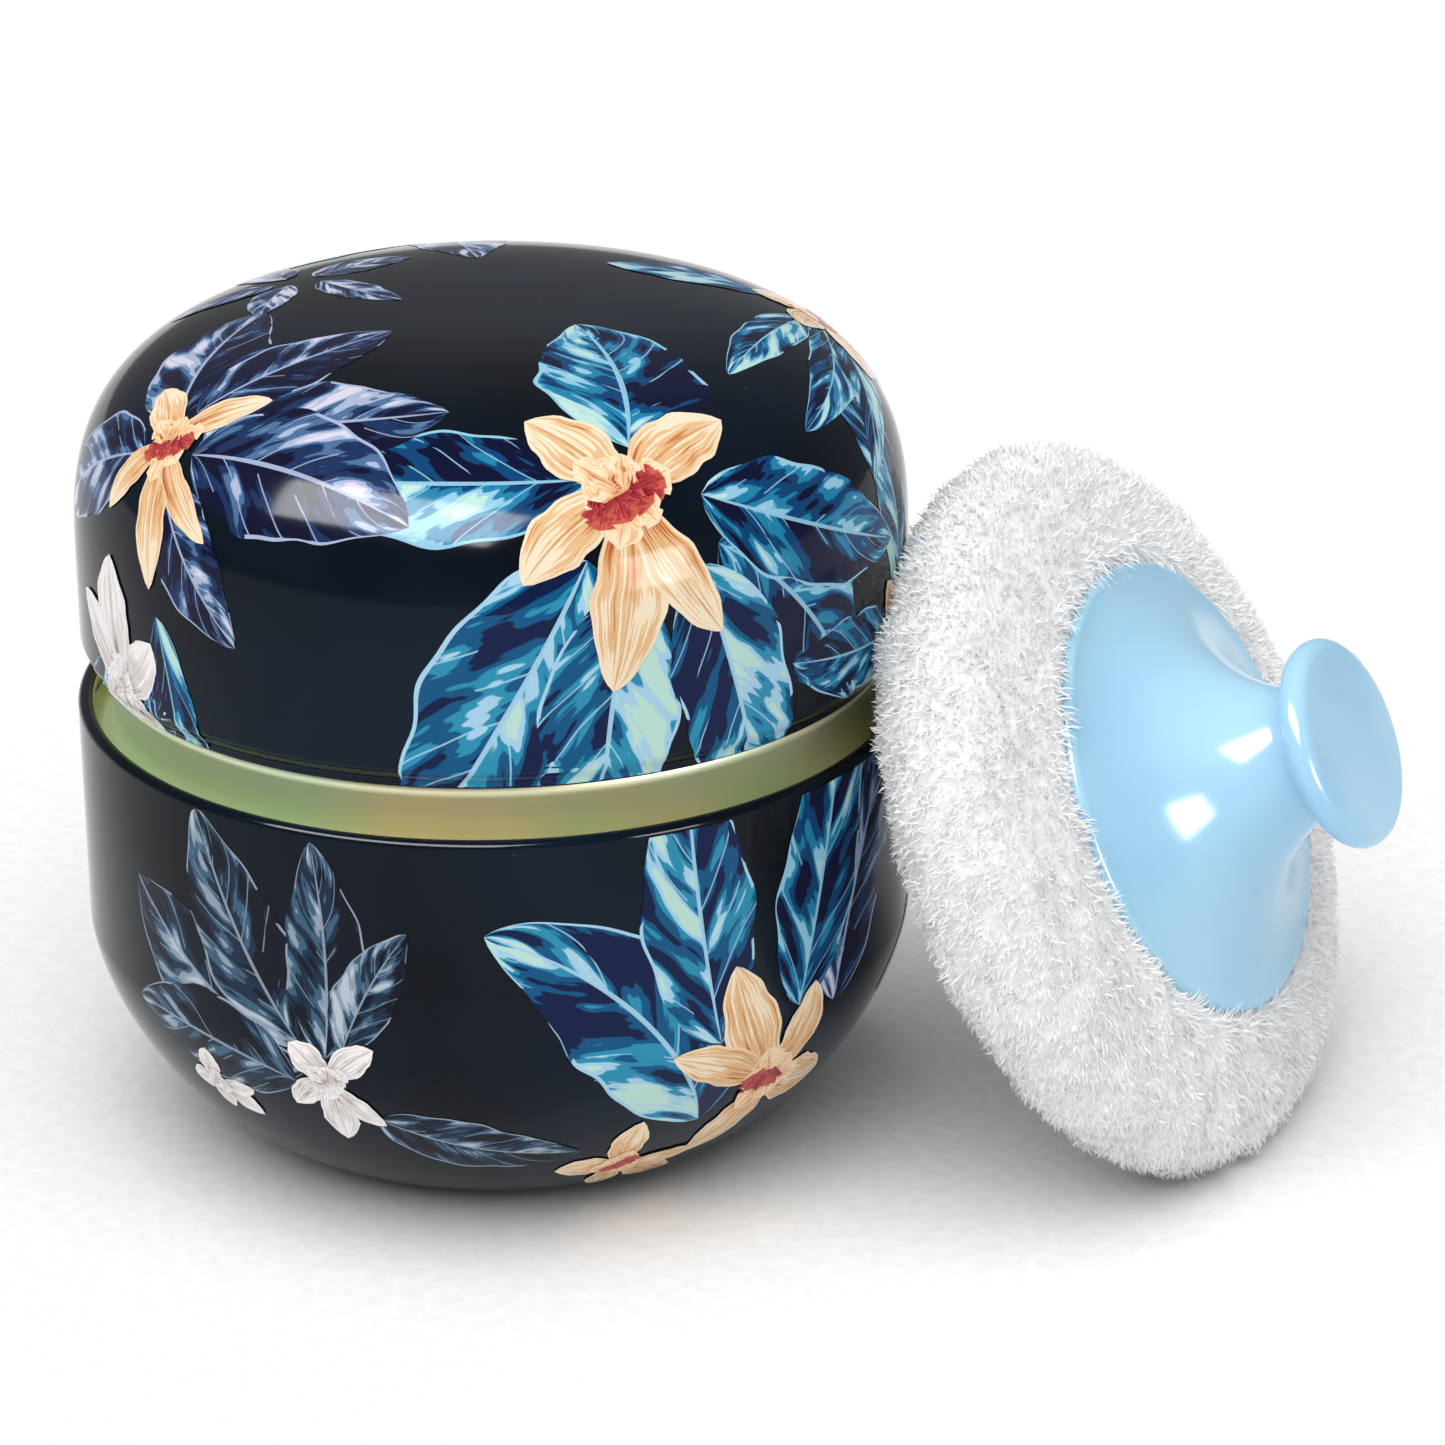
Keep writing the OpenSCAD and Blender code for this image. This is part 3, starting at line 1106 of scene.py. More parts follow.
@dataclass
class Bowl:
    """The printed bowl, with its gold collar, the sifter tray and the powder."""

    sizes: TinSizes

    def shell(self, lacquer: bpy.types.Material, gold: bpy.types.Material) -> bpy.types.Object:
        """Turns the drawn bowl: lacquered outside and gold within.

        Args:
            lacquer: The outside's material.
            gold: The inside's material.

        Returns:
            The shell.
        """
        s = self.sizes
        ring = [(0.0, 0.0), (s.base_ring_r - 2, 0.0), (s.base_ring_r - 1.4, s.base_ring_h * 0.35),
                (s.base_ring_r - 1, s.base_ring_h), (s.base_ring_r + 1, s.base_ring_h),
                (s.base_ring_r + 1.4, s.base_ring_h * 0.35), (s.base_ring_r + 2, 0.0)]
        outer = ring + s.bowl_side(BOWL_STEPS) + s.bowl_mouth()
        shell = turned("bowl_shell", outer + beside(outer, s.sheet_t)[::-1], closed=True)
        return two_sided(shell, 0, len(ring) + BOWL_STEPS + 1 + MOUTH_OUTSIDE, lacquer, gold)

    def collar(self, gold: bpy.types.Material) -> bpy.types.Object:
        """Turns the gold collar with its stop bead and rolled lip.

        Args:
            gold: Its material.

        Returns:
            The collar.
        """
        s = self.sizes
        skirt_r = s.body_r - s.sheet_t - s.press_gap
        step_z = s.body_h - s.groove_depth
        hem_r = s.lid_r - s.hem_in - s.hem_curl_r
        bead_at = s.neck_r + s.bead_out
        reach = s.bead_r + s.hem_curl_r + s.stop_gap
        bead_z = s.lid_edge_z + s.hem_curl_r - math.sqrt(reach**2 - (hem_r - bead_at) ** 2)
        half_turn = math.degrees(math.acos(-s.bead_out / s.bead_r))
        outer = (
            [(skirt_r, step_z - s.skirt_h)]
            + arc(skirt_r - s.step_r, step_z - s.step_r, s.step_r, 0, 90, 8)
            + arc(s.neck_r + s.step_r, step_z + s.step_r, s.step_r, 270, 180, 8)
            + arc(bead_at, bead_z, s.bead_r, -half_turn, half_turn, 24)
            + arc(s.neck_r - s.lip_r, s.lid_edge_z + s.neck_overlap - s.lip_r, s.lip_r, 0, 270, 24)
        )
        return dressed(turned("gold_collar", outer + beside(outer, s.sheet_t)[::-1], closed=True), gold)

    def printed(self, materials: list[bpy.types.Material]) -> bpy.types.Object:
        """Prints the bowl's flowers and leaves.

        Args:
            materials: The inks, in the order of Ink.

        Returns:
            The print, as one piece.
        """
        s = self.sizes
        straight = s.body_h - s.mouth_curl_r - s.base_curve_h
        side = s.bowl_side(160) + [(s.body_r, s.base_curve_h + straight * i / 60) for i in range(1, 61)]
        work = Print(PrintedFace(side, middle_z=34.0))
        low_left = (-114.0, -13.0)
        work.leaves(low_left, Ink.SMOKE_LEAF, [
            (-2, 2, 150, 30, 16, -30, 0, 0.35), (-3, 4, 118, 28, 13, -24, 1, 0.45),
            (0, 3, 92, 25, 10, 16, 2, 0.5),
            (-4, -1, 176, 24, 12, 25, 3, 0.3), (5, -5, 338, 23, 9, 18, 4, 0.3),
            (2, 4, 62, 17, 7, -20, 5, 0.55),
        ])
        work.orchid(low_left, Ink.PALE_PETAL, 9.5, 4.6, turn=12, lip=False)
        work.orchid(low_left, Ink.PALE_PETAL, 6.5, 3.8, turn=70, start=(-16, -6), lip=False)
        curl = (-74.0, -10.0)
        work.leaves(curl, Ink.TEAL_LEAF, [(10, -12, 132, 40, 17, 62, 3, 0.58)])
        right = (-58.0, -16.0)
        work.leaves(right, Ink.TEAL_LEAF, [(-2, 5, 97, 36, 14, -10, 4, 0.52)])
        work.leaves(right, Ink.BLUE_LEAF, [(9, 6, 78, 36, 14, 14, 5, 0.5), (-8, 0, 140, 20, 9, 20, 1, 0.4)])
        work.leaves(right, Ink.PLUM_LEAF, [(15, 4, 66, 34, 14, -12, 3, 0.6)])
        work.orchid(right, Ink.CREAM_PETAL, 18, 8, turn=-150, start=(6, -3))
        work.orchid(right, Ink.CREAM_PETAL, 12, 5.4, turn=60, start=(-10, -14))
        for turn in (12.0, 82.0, 152.0):
            spot = (turn, -9.0)
            work.leaves(spot, Ink.BLUE_LEAF, [
                (-2, 4, 118, 30, 11, -22, 0, 0.4), (3, 4, 68, 31, 12, 20, 1, 0.5),
                (-5, -2, 196, 24, 10, 24, 2, 0.45),
            ])
            work.leaves(spot, Ink.TEAL_LEAF, [(0, 5, 92, 33, 10, 8, 3, 0.6),
                                              (5, -3, 342, 25, 11, -24, 4, 0.6)])
            work.leaves(spot, Ink.PLUM_LEAF, [(-4, -5, 232, 20, 9, 20, 1, 0.5),
                                              (4, -6, 300, 20, 9, -18, 2, 0.5)])
            work.orchid(spot, Ink.CREAM_PETAL, 13, 6.4, turn=turn)
        return work.piece("bowl_print", materials)


@dataclass
class Lid:
    """The printed dome lid."""

    sizes: TinSizes

    def shell(self, lacquer: bpy.types.Material, gold: bpy.types.Material) -> bpy.types.Object:
        """Turns the drawn lid: lacquered outside and gold within.

        Args:
            lacquer: The outside's material.
            gold: The inside's material.

        Returns:
            The shell.
        """
        s = self.sizes
        outer = s.hem() + s.dome(DOME_STEPS)
        shell = turned("lid_dome", outer + beside(outer, s.sheet_t)[::-1], closed=True)
        return two_sided(shell, HEM_STEPS, len(outer) - 1, lacquer, gold)

    def printed(self, materials: list[bpy.types.Material]) -> bpy.types.Object:
        """Prints the lid's flowers and leaves.

        Args:
            materials: The inks, in the order of Ink.

        Returns:
            The print, as one piece.
        """
        s = self.sizes
        line = s.hem()[2 * HEM_STEPS - 2 :] + s.dome(240)
        work = Print(PrintedFace(line, middle_z=60.0, hem_top_z=s.lid_edge_z + s.hem_curl_r + s.hem_h + 0.6))
        main = (-71.0, 35.0)
        work.leaves(main, Ink.BLUE_LEAF, [
            (-3, 2, 164, 33, 13, -22, 1, 0.48), (2, 5, 78, 27, 19, 24, 2, 0.62),
            (8, -1, 352, 31, 13, 26, 3, 0.5),
            (9, -6, 322, 30, 16, -24, 2, 0.44),
        ])
        work.leaves(main, Ink.TEAL_LEAF, [
            (-5, -6, 232, 40, 20, -10, 4, 0.5), (-1, -9, 262, 36, 16, 12, 5, 0.62),
            (6, -8, 289, 35, 15, -14, 6, 0.6),
        ])
        work.orchid(main, Ink.CREAM_PETAL, 20, 8.6, turn=0)
        left = (-146.0, 36.0)
        work.leaves(left, Ink.PLUM_LEAF, [
            (3, 3, 34, 27, 14, 24, 1, 0.5), (4, 0, 8, 27, 15, -22, 2, 0.42), (2, -3, 318, 20, 9, 16, 3, 0.4),
            (-2, 3, 128, 22, 13, -14, 1, 0.4), (0, 4, 82, 24, 12, 18, 2, 0.5),
            (-3, -2, 204, 22, 11, 18, 2, 0.5),
        ])
        work.orchid(left, Ink.CREAM_PETAL, 15, 5.0, turn=24)
        low_left = (-150.0, 6.0)
        work.leaves(low_left, Ink.BLUE_LEAF, [
            (5, 3, 290, 28, 11, 20, 1, 0.5), (-4, 0, 250, 24, 9, -16, 2, 0.5),
            (8, 8, 280, 30, 7, -14, 3, 0.4)])
        work.orchid(low_left, Ink.PALE_PETAL, 15, 8.4, turn=196, start=(0, -3), lip=False)
        top_right = (14.0, 40.0)
        work.leaves(top_right, Ink.BLUE_LEAF, [
            (-4, 3, 152, 26, 6, 16, 1, 0.55), (-4, 1, 170, 28, 6, -18, 2, 0.6),
            (-3, -1, 190, 26, 6, 16, 3, 0.55),
            (4, -3, 320, 25, 12, 18, 1, 0.5), (2, -5, 282, 28, 13, -14, 2, 0.5),
        ])
        work.leaves(top_right, Ink.TEAL_LEAF, [(3, 4, 60, 20, 9, -18, 4, 0.6)])
        work.orchid(top_right, Ink.CREAM_PETAL, 12, 6, turn=-60)
        back = (96.0, 34.0)
        work.leaves(back, Ink.BLUE_LEAF, [
            (-4, 2, 166, 28, 11, 18, 1, 0.45), (4, 3, 28, 28, 12, -18, 2, 0.5),
            (-4, -6, 234, 34, 13, 14, 3, 0.5),
        ])
        work.leaves(back, Ink.TEAL_LEAF, [(0, -8, 266, 36, 12, -10, 4, 0.65),
                                          (5, -6, 304, 32, 11, 16, 5, 0.6)])
        work.leaves(back, Ink.PLUM_LEAF, [(0, 5, 92, 22, 12, 14, 1, 0.5)])
        work.orchid(back, Ink.CREAM_PETAL, 17, 8.5, turn=24)
        faint = (152.0, 58.0)
        work.leaves(faint, Ink.PLUM_LEAF, [
            (0, 2, 70, 15, 6, 20, 1, 0.6), (-2, 0, 150, 14, 6, -18, 2, 0.55), (2, -1, 10, 12, 5, 18, 3, 0.6),
            (-1, -3, 235, 14, 6, 14, 4, 0.5), (2, -3, 300, 12, 5, -14, 5, 0.55),
        ])
        side = (-18.0, 6.0)
        work.leaves(side, Ink.BLUE_LEAF, [
            (0, 3, 95, 26, 10, 12, 1, 0.5), (-3, 0, 170, 22, 9, -16, 2, 0.5), (3, -2, 345, 24, 9, 18, 3, 0.5),
        ])
        work.orchid(side, Ink.CREAM_PETAL, 10, 5, turn=100)
        return work.piece("lid_print", materials)


# ---------------------------------------------------------------- the puff


@dataclass
class PuffSizes:
    """The puff's sizes about its own middle, with its handle along +Z."""

    turn: float = -30.0
    lean: float = 26.0
    r: float = 44.5
    half: float = 12.5
    full: float = 2.8
    thread_z: float = 7.5
    seat_z: float = 8.5
    flange_r: float = 27.0
    flange_t: float = 2.0
    handle_h: float = 23.0
    handle_wall: float = 1.8
    knob_r: float = 12.3
    knob_t: float = 3.4
    stem_r: float = 8.0
    stem_below_knob: float = 2.6
    flare_full: float = 1.6
    boss_r: float = 3.5
    screw_r: float = 1.5
    screw_depth: float = 11.0


@dataclass(frozen=True)
class Filling:
    """How the foam fills the cover, in the cloth simulation."""

    pressure: float = 4.0
    stiffness: float = 12.0
    mass: float = 0.05
    frames: int = 20
    most: float = 1.6  # how far it may push the cover out, in millimetres


@dataclass(frozen=True)
class Tufts:
    """The pile. A tuft is drawn several times as thick as a real fibre, so that it shows."""

    count: int = 62000
    quick_count: int = 30000
    seed: int = 41
    length: Point = (0.8, 1.65)
    half_width: Point = (0.08, 0.13)
    sunk: float = 0.2
    gap: float = 0.12
    floor_room: float = 0.3


@dataclass
class Puff:
    """The plush puff and its moulded handle."""

    sizes: PuffSizes
    tin: TinSizes

    def place(self) -> Matrix:
        """Where the puff stands, from its thread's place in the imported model.

        Returns:
            The turn and place of the puff's own middle.
        """
        s = self.sizes
        low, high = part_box("gather_thread")
        about, over = math.radians(s.turn), math.radians(90 - s.lean)
        turn = Matrix.Rotation(about, 4, "Z") @ Matrix.Rotation(over, 4, "Y")
        middle = (low + high) / 2 - turn.to_3x3() @ Vector((0, 0, s.thread_z * MM))
        return Matrix.Translation(middle) @ turn

    def outline(self) -> Line:
        """The plush's outline before it is filled: round edge, and a seat for the flange.

        Returns:
            The points, from the middle of the back to the middle of the front.
        """
        s = self.sizes
        slack = 1.4
        turns = [math.radians(-90 + 3 * i) for i in range(61)]
        edge = [((s.r - slack) * powered(max(math.cos(t), 0), 2 / s.full),
                 (s.half - slack) * powered(math.sin(t), 2 / s.full)) for t in turns]
        edge[0] = (0.0, -(s.half - slack))
        rim = s.flange_r + 0.6
        return [p for p in edge if p[1] < 0 or p[0] > rim + 1] + [
            (rim + 0.2, s.seat_z + 1.8), (rim - 0.2, s.seat_z - 0.1), (14.0, s.seat_z - 0.15),
            (0.0, s.seat_z - 0.15)]

    def fill(self, piece: bpy.types.Object) -> None:
        """Fills the plush as foam does, by a short cloth simulation.

        Args:
            piece: The slack cover about its own middle.
        """
        s, foam = self.sizes, Filling()
        scene = bpy.context.scene
        mesh = piece.data
        before = read(mesh.vertices, "co")
        clamped = piece.vertex_groups.new(name="clamped")
        held = (np.hypot(before[:, 0], before[:, 1]) < (s.flange_r + 0.7) * MM) & (before[:, 2] > 0)
        clamped.add([int(i) for i in np.flatnonzero(held)], 1.0, "REPLACE")
        cloth = piece.modifiers.new("filling", "CLOTH")
        cloth.settings.use_pressure = True
        cloth.settings.uniform_pressure_force = foam.pressure
        cloth.settings.effector_weights.gravity = 0.0
        cloth.settings.vertex_group_mass = "clamped"
        cloth.settings.tension_stiffness = cloth.settings.compression_stiffness = foam.stiffness
        cloth.settings.mass = foam.mass
        cloth.point_cache.frame_start = 1
        cloth.point_cache.frame_end = foam.frames
        for number in range(1, foam.frames + 1):
            scene.frame_set(number)
        evaluated = piece.evaluated_get(bpy.context.evaluated_depsgraph_get())
        move = read(evaluated.data.vertices, "co") - before
        far = np.linalg.norm(move, axis=1)
        move *= np.minimum(1, foam.most * MM / np.maximum(far, 1e-9))[:, None]
        piece.modifiers.remove(cloth)
        scene.frame_set(1)
        mesh.vertices.foreach_set("co", (before + move).ravel())
        mesh.update()

    def clear_of_tin(self, world: np.ndarray, gap_mm: float) -> np.ndarray:
        """Presses points that would be in the tin or the floor back to just outside them.

        Args:
            world: Points in metres.
            gap_mm: Room left between the plush and the tin.

        Returns:
            The points, moved where they had to be.
        """
        t = self.tin
        limit = (t.lid_r + gap_mm) * MM
        r = np.hypot(world[:, 0], world[:, 1])
        bowl = np.where(world[:, 2] < t.lid_edge_z * MM, (t.body_r + gap_mm) * MM, limit)
        push = np.where(r < bowl, bowl / np.maximum(r, 1e-9), 1.0)
        made = world.copy()
        made[:, 0] *= push
        made[:, 1] *= push
        made[:, 2] = np.maximum(made[:, 2], 0.03 * MM)
        return made

    def plush(self, finish: bpy.types.Material) -> bpy.types.Object:
        """Makes the plush cover, filled and pressed where it leans.

        Args:
            finish: Its material.

        Returns:
            The cover.
        """
        piece = turned("plush_puff", self.outline(), closed=False, segments=120)
        bpy.context.view_layer.objects.active = piece
        remesh = piece.modifiers.new("even", "REMESH")
        remesh.mode = "VOXEL"
        remesh.voxel_size = 1.9 * MM
        self.apply(piece)
        self.fill(piece)
        finer = piece.modifiers.new("finer", "SUBSURF")
        finer.levels = finer.render_levels = 1
        self.apply(piece)
        mesh = piece.data
        co, no = read(mesh.vertices, "co"), read(mesh.vertices, "normal")
        swell = 0.35 * MM * (lumps(co, 7.0 * MM, 3) + 0.6 * lumps(co, 3.1 * MM, 5)) * self.has_pile(co)
        co = co + no * swell[:, None]
        turn = np.array(self.place())
        world = co @ turn[:3, :3].T + turn[:3, 3]
        mesh.vertices.foreach_set("co", self.clear_of_tin(world, 0.25).ravel())
        mesh.polygons.foreach_set("use_smooth", [True] * len(mesh.polygons))
        mesh.update()
        LOG.info("plush_puff has %d points", len(co))
        return dressed(piece, finish)

    @staticmethod
    def apply(piece: bpy.types.Object) -> None:
        """Makes the piece's modifiers part of its mesh.

        Args:
            piece: The piece.
        """
        evaluated = piece.evaluated_get(bpy.context.evaluated_depsgraph_get())
        piece.data = bpy.data.meshes.new_from_object(evaluated)
        piece.modifiers.clear()

    def has_pile(self, co: np.ndarray) -> np.ndarray:
        """Which points about the puff's own middle have pile: all that aren't under the flange."""
        return (np.hypot(co[:, 0], co[:, 1]) / MM >= self.sizes.flange_r + 0.2) | (co[:, 2] <= 0)

    def pile(self, cover: bpy.types.Object, finish: bpy.types.Material) -> bpy.types.Object:
        """Plants the pile: short curved tufts that lie outwards from the handle and over the flange's edge.

        Args:
            cover: The finished plush cover.
            finish: The pile's material.

        Returns:
            The pile as one piece.
        """
        s, tuft = self.sizes, Tufts()
        rng = np.random.default_rng(tuft.seed)
        mesh = cover.data
        mesh.calc_loop_triangles()
        places = read(mesh.vertices, "co")
        corners = read(mesh.loop_triangles, "vertices", 3, np.int32)
        a, b, c = (places[corners[:, k]] for k in range(3))
        cross = np.cross(b - a, c - a)
        area = np.linalg.norm(cross, axis=1)
        count = tuft.count
        chosen = rng.choice(len(area), count, p=area / area.sum())
        p, q = rng.random(count), rng.random(count)
        flip = p + q > 1
        p[flip], q[flip] = 1 - p[flip], 1 - q[flip]
        root = a[chosen] + (b - a)[chosen] * p[:, None] + (c - a)[chosen] * q[:, None]
        normal = cross[chosen] / area[chosen][:, None]
        turn = np.array(self.place())
        local = (root - turn[:3, 3]) @ turn[:3, :3]
        keep = self.has_pile(local) & (root[:, 2] > tuft.floor_room * MM)
        root, normal, local = root[keep], normal[keep], local[keep]
        count = len(root)
        out = local.copy()
        out[:, 2] = 0
        far = np.linalg.norm(out, axis=1)
        out /= np.maximum(far, 1e-9)[:, None]
        near_flange = np.clip(1 - (far / MM - s.flange_r) / 4.5, 0, 1) * (local[:, 2] > 0)
        way = out * (0.6 - 1.3 * near_flange)[:, None]
        lay = way @ turn[:3, :3].T
        lay += np.array([0, 0, -0.2]) + rng.normal(0, 0.32, (count, 3))
        lay -= normal * (lay * normal).sum(axis=1)[:, None]
        length = rng.uniform(*tuft.length, count) * MM * (1 + 0.25 * lumps(local, 5 * MM, 9))
        length *= 1 + near_flange * (0.7 + 0.8 * lumps(local, 6 * MM, 12))
        first, last = unit(normal * 0.55 + lay), unit(normal * 0.2 + lay)
        mid = root + first * length[:, None] * 0.5
        tip = mid + last * length[:, None] * 0.5
        wide = unit(np.cross(first, normal + rng.normal(0, 0.25, (count, 3))))
        wide *= rng.uniform(*tuft.half_width, count)[:, None] * MM
        foot = root - normal * tuft.sunk * MM
        rows = [foot + wide, foot - wide, mid - wide * 0.85, mid + wide * 0.85, tip]
        points = np.stack([self.clear_of_tin(row, tuft.gap) for row in rows], axis=1).reshape(-1, 3)
        base = np.arange(count) * 5
        quads = np.stack([base, base + 1, base + 2, base + 3], axis=1)
        ends = np.stack([base + 3, base + 2, base + 4], axis=1)
        piece = smooth_piece("plush_pile", points.tolist(), quads.tolist() + ends.tolist())
        LOG.info("plush_pile has %d tufts", count)
        return dressed(piece, finish)

    def handle(self, finish: bpy.types.Material) -> bpy.types.Object:
        """Turns the hollow handle: flange, flare and knob in one moulding.

        Args:
            finish: Its material.

        Returns:
            The handle.
        """
        s = self.sizes
        stem_z = s.handle_h - s.knob_t - s.stem_below_knob
        under_r, under_z = s.knob_r - s.knob_t / 2, s.handle_h - s.knob_t
        edge_r = s.flange_r - 1
        turns = quarter_turn(60)
        flare = [(edge_r - (edge_r - s.stem_r) * powered(math.sin(t), 2 / s.flare_full),
                  stem_z - (stem_z - s.flange_t) * powered(max(math.cos(t), 0), 2 / s.flare_full))
                 for t in turns]
        neck = [(s.stem_r + (under_r - s.stem_r) * (1 - math.cos(t)),
                 stem_z + (under_z - stem_z) * math.sin(t)) for t in turns[6::6]]
        rim = arc(under_r, s.handle_h - s.knob_t / 2, s.knob_t / 2, -84, 84, 28)
        face = [(under_r - 0.6, s.handle_h + 0.02), (under_r * 0.6, s.handle_h + 0.05),
                (0.0, s.handle_h + 0.05)]
        hollow_z = stem_z - 3
        hollow_r = s.flange_r - s.handle_wall
        hollow = [p for p in beside(flare, s.handle_wall) if p[0] < hollow_r and p[1] < hollow_z]
        outline = (
            [(s.flange_r - 0.15, 0.0), (s.flange_r, 0.15)] + arc(edge_r, s.flange_t - 1, 1, 4, 86, 10)
            + flare + neck + rim + face
            + [(0.0, s.screw_depth), (s.screw_r, s.screw_depth), (s.screw_r, 0.0), (s.boss_r, 0.0),
               (s.boss_r, hollow_z), (s.stem_r - s.handle_wall, hollow_z)]
            + hollow[::-1] + [(hollow_r, 0.0)]
        )
        piece = turned("handle_moulding", outline, closed=True, segments=192)
        piece.data.transform(self.place() @ Matrix.Translation((0, 0, s.seat_z * MM)))
        return dressed(piece, finish)


def lumps(points: np.ndarray, size: float, seed: int) -> np.ndarray:
    """A smooth, even unevenness from -1 to 1, made of waves in fixed directions.

    Args:
        points: Where it is wanted, in metres.
        size: Distance from lump to lump in metres.
        seed: Which pattern.

    Returns:
        One value for each point.
    """
    rng = np.random.default_rng(seed)
    total = np.zeros(len(points))
    for _ in range(9):
        way = rng.normal(0, 1, 3)
        way /= np.linalg.norm(way)
        wave = points @ way * 2 * math.pi / (size * rng.uniform(0.8, 1.6))
        total += np.sin(wave + rng.uniform(0, 2 * math.pi))
    return total / 4.5


# ---------------------------------------------------------------- studio


@dataclass
class Studio:
    """The camera, the floor and the lights."""

    distance: float = 528.0
    rise: float = 22.77
    aim_z: float = 47.4
    turn: float = 3.12
    tilt: float = 0.08
    roll: float = -0.07
    lens: float = 111.5
    key: float = 2.9
    room: float = 0.3

    def camera(self) -> None:
        """Makes the camera at the view's angle and sets it as the scene's."""
        data = bpy.data.cameras.new("camera")
        data.lens, data.sensor_width, data.clip_start = self.lens, 36.0, 0.01
        made = placed("camera", data)
        rise, down = math.radians(self.rise), math.radians(self.rise + self.tilt)
        side, roll = math.radians(self.turn), math.radians(self.roll)
        ahead = Vector((math.sin(side) * math.cos(down), math.cos(side) * math.cos(down), -math.sin(down)))
        right = Vector((math.cos(side), -math.sin(side), 0))
        up = right.cross(ahead)
        right, up = right * math.cos(roll) + up * math.sin(roll), up * math.cos(roll) - right * math.sin(roll)
        turned_to = Matrix((right, up, -ahead)).transposed().to_4x4()
        at = Vector((0, -self.distance * math.cos(rise), self.aim_z + self.distance * math.sin(rise))) * MM
        made.matrix_world = Matrix.Translation(at) @ turned_to
        bpy.context.scene.camera = made

    def floor(self) -> None:
        """Lays the background paper."""
        size = 6.0
        mesh = bpy.data.meshes.new("floor")
        corners = [(-size, -size, 0), (size, -size, 0), (size, size, 0), (-size, size, 0)]
        mesh.from_pydata(corners, [], [(0, 1, 2, 3)])
        dressed(placed("floor", mesh), PaperFloor().material())

    @staticmethod
    def hung(data: bpy.types.Light, turn: float, rise: float, far: float) -> bpy.types.Object:
        """Hangs a light, turned to the tin.

        Args:
            data: The light.
            turn: Where it hangs, in degrees round the tin, with the camera at -90.
            rise: Its height in degrees above the floor.
            far: Its distance in metres.

        Returns:
            The light's object.
        """
        made = placed(data.name, data)
        t, e = math.radians(turn), math.radians(rise)
        way = Vector((math.cos(t) * math.cos(e), math.sin(t) * math.cos(e), math.sin(e)))
        made.location = Vector((0.02, 0, 0.06)) + way * far
        made.rotation_euler = way.to_track_quat("Z", "Y").to_euler()
        return made

    def soft_box(self, name: str, turn: float, rise: float, far: float, size: Point, power: float) -> None:
        """Hangs a soft box that only shows as a gleam on glossy things.

        Args:
            name: The light's name.
            turn: Where it hangs, in degrees round the tin.
            rise: Its height in degrees.
            far: Its distance in metres.
            size: Its breadth and height in metres.
            power: Its power in watts.
        """
        data = bpy.data.lights.new(name, "AREA")
        data.shape, data.size, data.size_y, data.energy = "RECTANGLE", size[0], size[1], power
        self.hung(data, turn, rise, far).visible_diffuse = False

    def lights(self) -> None:
        """Hangs the soft boxes and the broad key light, and sets the room's own light."""
        self.soft_box("front_box", turn=-127, rise=51, far=0.9, size=(0.95, 0.4), power=34.0)
        self.soft_box("side_box", turn=-48, rise=11, far=0.9, size=(0.28, 0.27), power=6.0)
        key = bpy.data.lights.new("broad_key", "SUN")
        key.energy, key.angle = self.key, math.radians(70)
        self.hung(key, turn=-112, rise=66, far=1.5).visible_glossy = False
        world = bpy.data.worlds.new("room")
        world.use_nodes = True
        room = world.node_tree.nodes["Background"]
        room.inputs[0].default_value = linear("#FFFFFF")
        room.inputs[1].default_value = self.room
        bpy.context.scene.world = world
        bpy.context.scene.view_settings.view_transform = "Standard"


# ---------------------------------------------------------------- all together


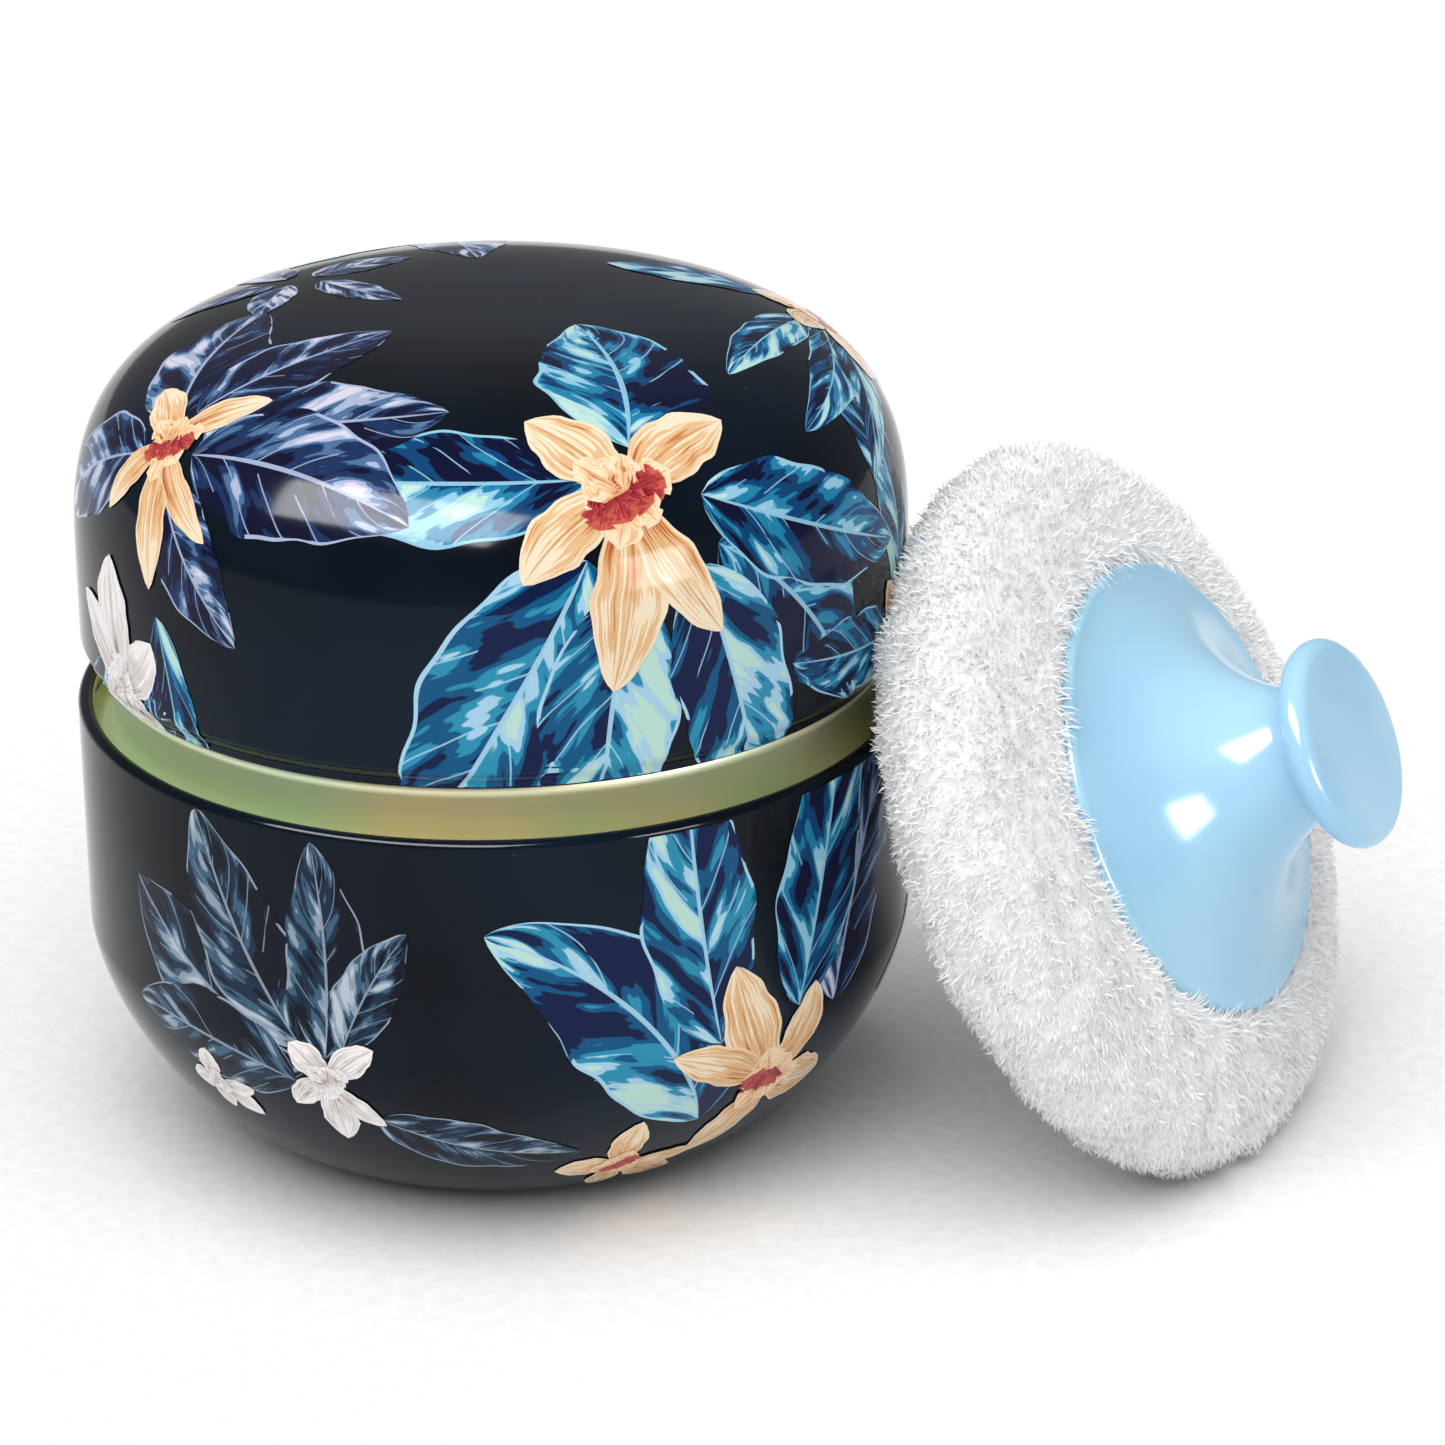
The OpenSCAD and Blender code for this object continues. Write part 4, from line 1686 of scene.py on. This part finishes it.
def carried_over() -> None:
    """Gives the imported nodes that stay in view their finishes."""
    finishes = {
        "sifter_tray": Moulding("polypropylene_moulding", 0.34, "#EFEFEA", "#F6F6F2", 0.2, 0.7, 0.004),
        "backing_washer": Moulding("washer_moulding", 0.42, "#D9DDE1", "#E3E7EA", 0.1, 0.6, 0.005),
        "powder_fill": Crumb(),
        # Each Crumb's first colour is painted shade in the hollows of its grain.
        "foam_core": Crumb("open_cell_foam", 0.9, "#CFC8B6", "#EDE8DA", 1.1, 0.4),
        "gather_thread": Crumb("twisted_thread", 0.8, "#D8D8D8", "#F7F7F7", 0.5, 0.1, (1, 1, 2.5)),
        "handle_screw": ZincSteel(),
    }
    for node, finish in finishes.items():
        dressed(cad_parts[node], finish.material())
        LOG.info("%s keeps its own mesh, in %s", node, finish.name)


def ready(piece: bpy.types.Object, body: str, slot: str, *nodes: str) -> None:
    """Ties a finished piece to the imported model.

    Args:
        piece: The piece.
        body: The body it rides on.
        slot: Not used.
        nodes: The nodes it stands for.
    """
    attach(piece, body)
    if nodes:
        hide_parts(*nodes)
    LOG.info("%s rides on %s", piece.name, body)


def main() -> None:
    """Builds the scene."""
    logging.basicConfig(level=logging.INFO, format="%(name)s: %(message)s")
    studio = Studio()
    studio.camera()
    studio.floor()
    studio.lights()
    tin = TinSizes()
    lacquer, gold, ink = LithoLacquer().material(), GoldTinplate().material(), inks()
    bowl, lid = Bowl(tin), Lid(tin)
    ready(bowl.shell(lacquer, gold), "tin", "printed_tinplate", "body_shell")
    ready(bowl.collar(gold), "tin", "gold_tinplate", "neck_ring")
    ready(bowl.printed(ink), "tin", "printed_tinplate")
    ready(lid.shell(lacquer, gold), "lid", "printed_tinplate", "lid_shell")
    ready(lid.printed(ink), "lid", "printed_tinplate")
    puff = Puff(PuffSizes(), tin)
    plush = Plush().material()
    cover = puff.plush(plush)
    # The pile's hollow colour is painted shade between the tufts.
    pile = Plush("polyester_pile", hollow="#EEEEEE", top="#F8F8F8", depth_mm=0.02).material()
    ready(cover, "puff", "white_plush", "plush_cover")
    ready(puff.pile(cover, pile), "puff", "white_plush")
    ready(puff.handle(Moulding().material()), "puff", "blue_moulding", "puff_handle")
    carried_over()
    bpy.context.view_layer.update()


if __name__ == "__main__":
    main()
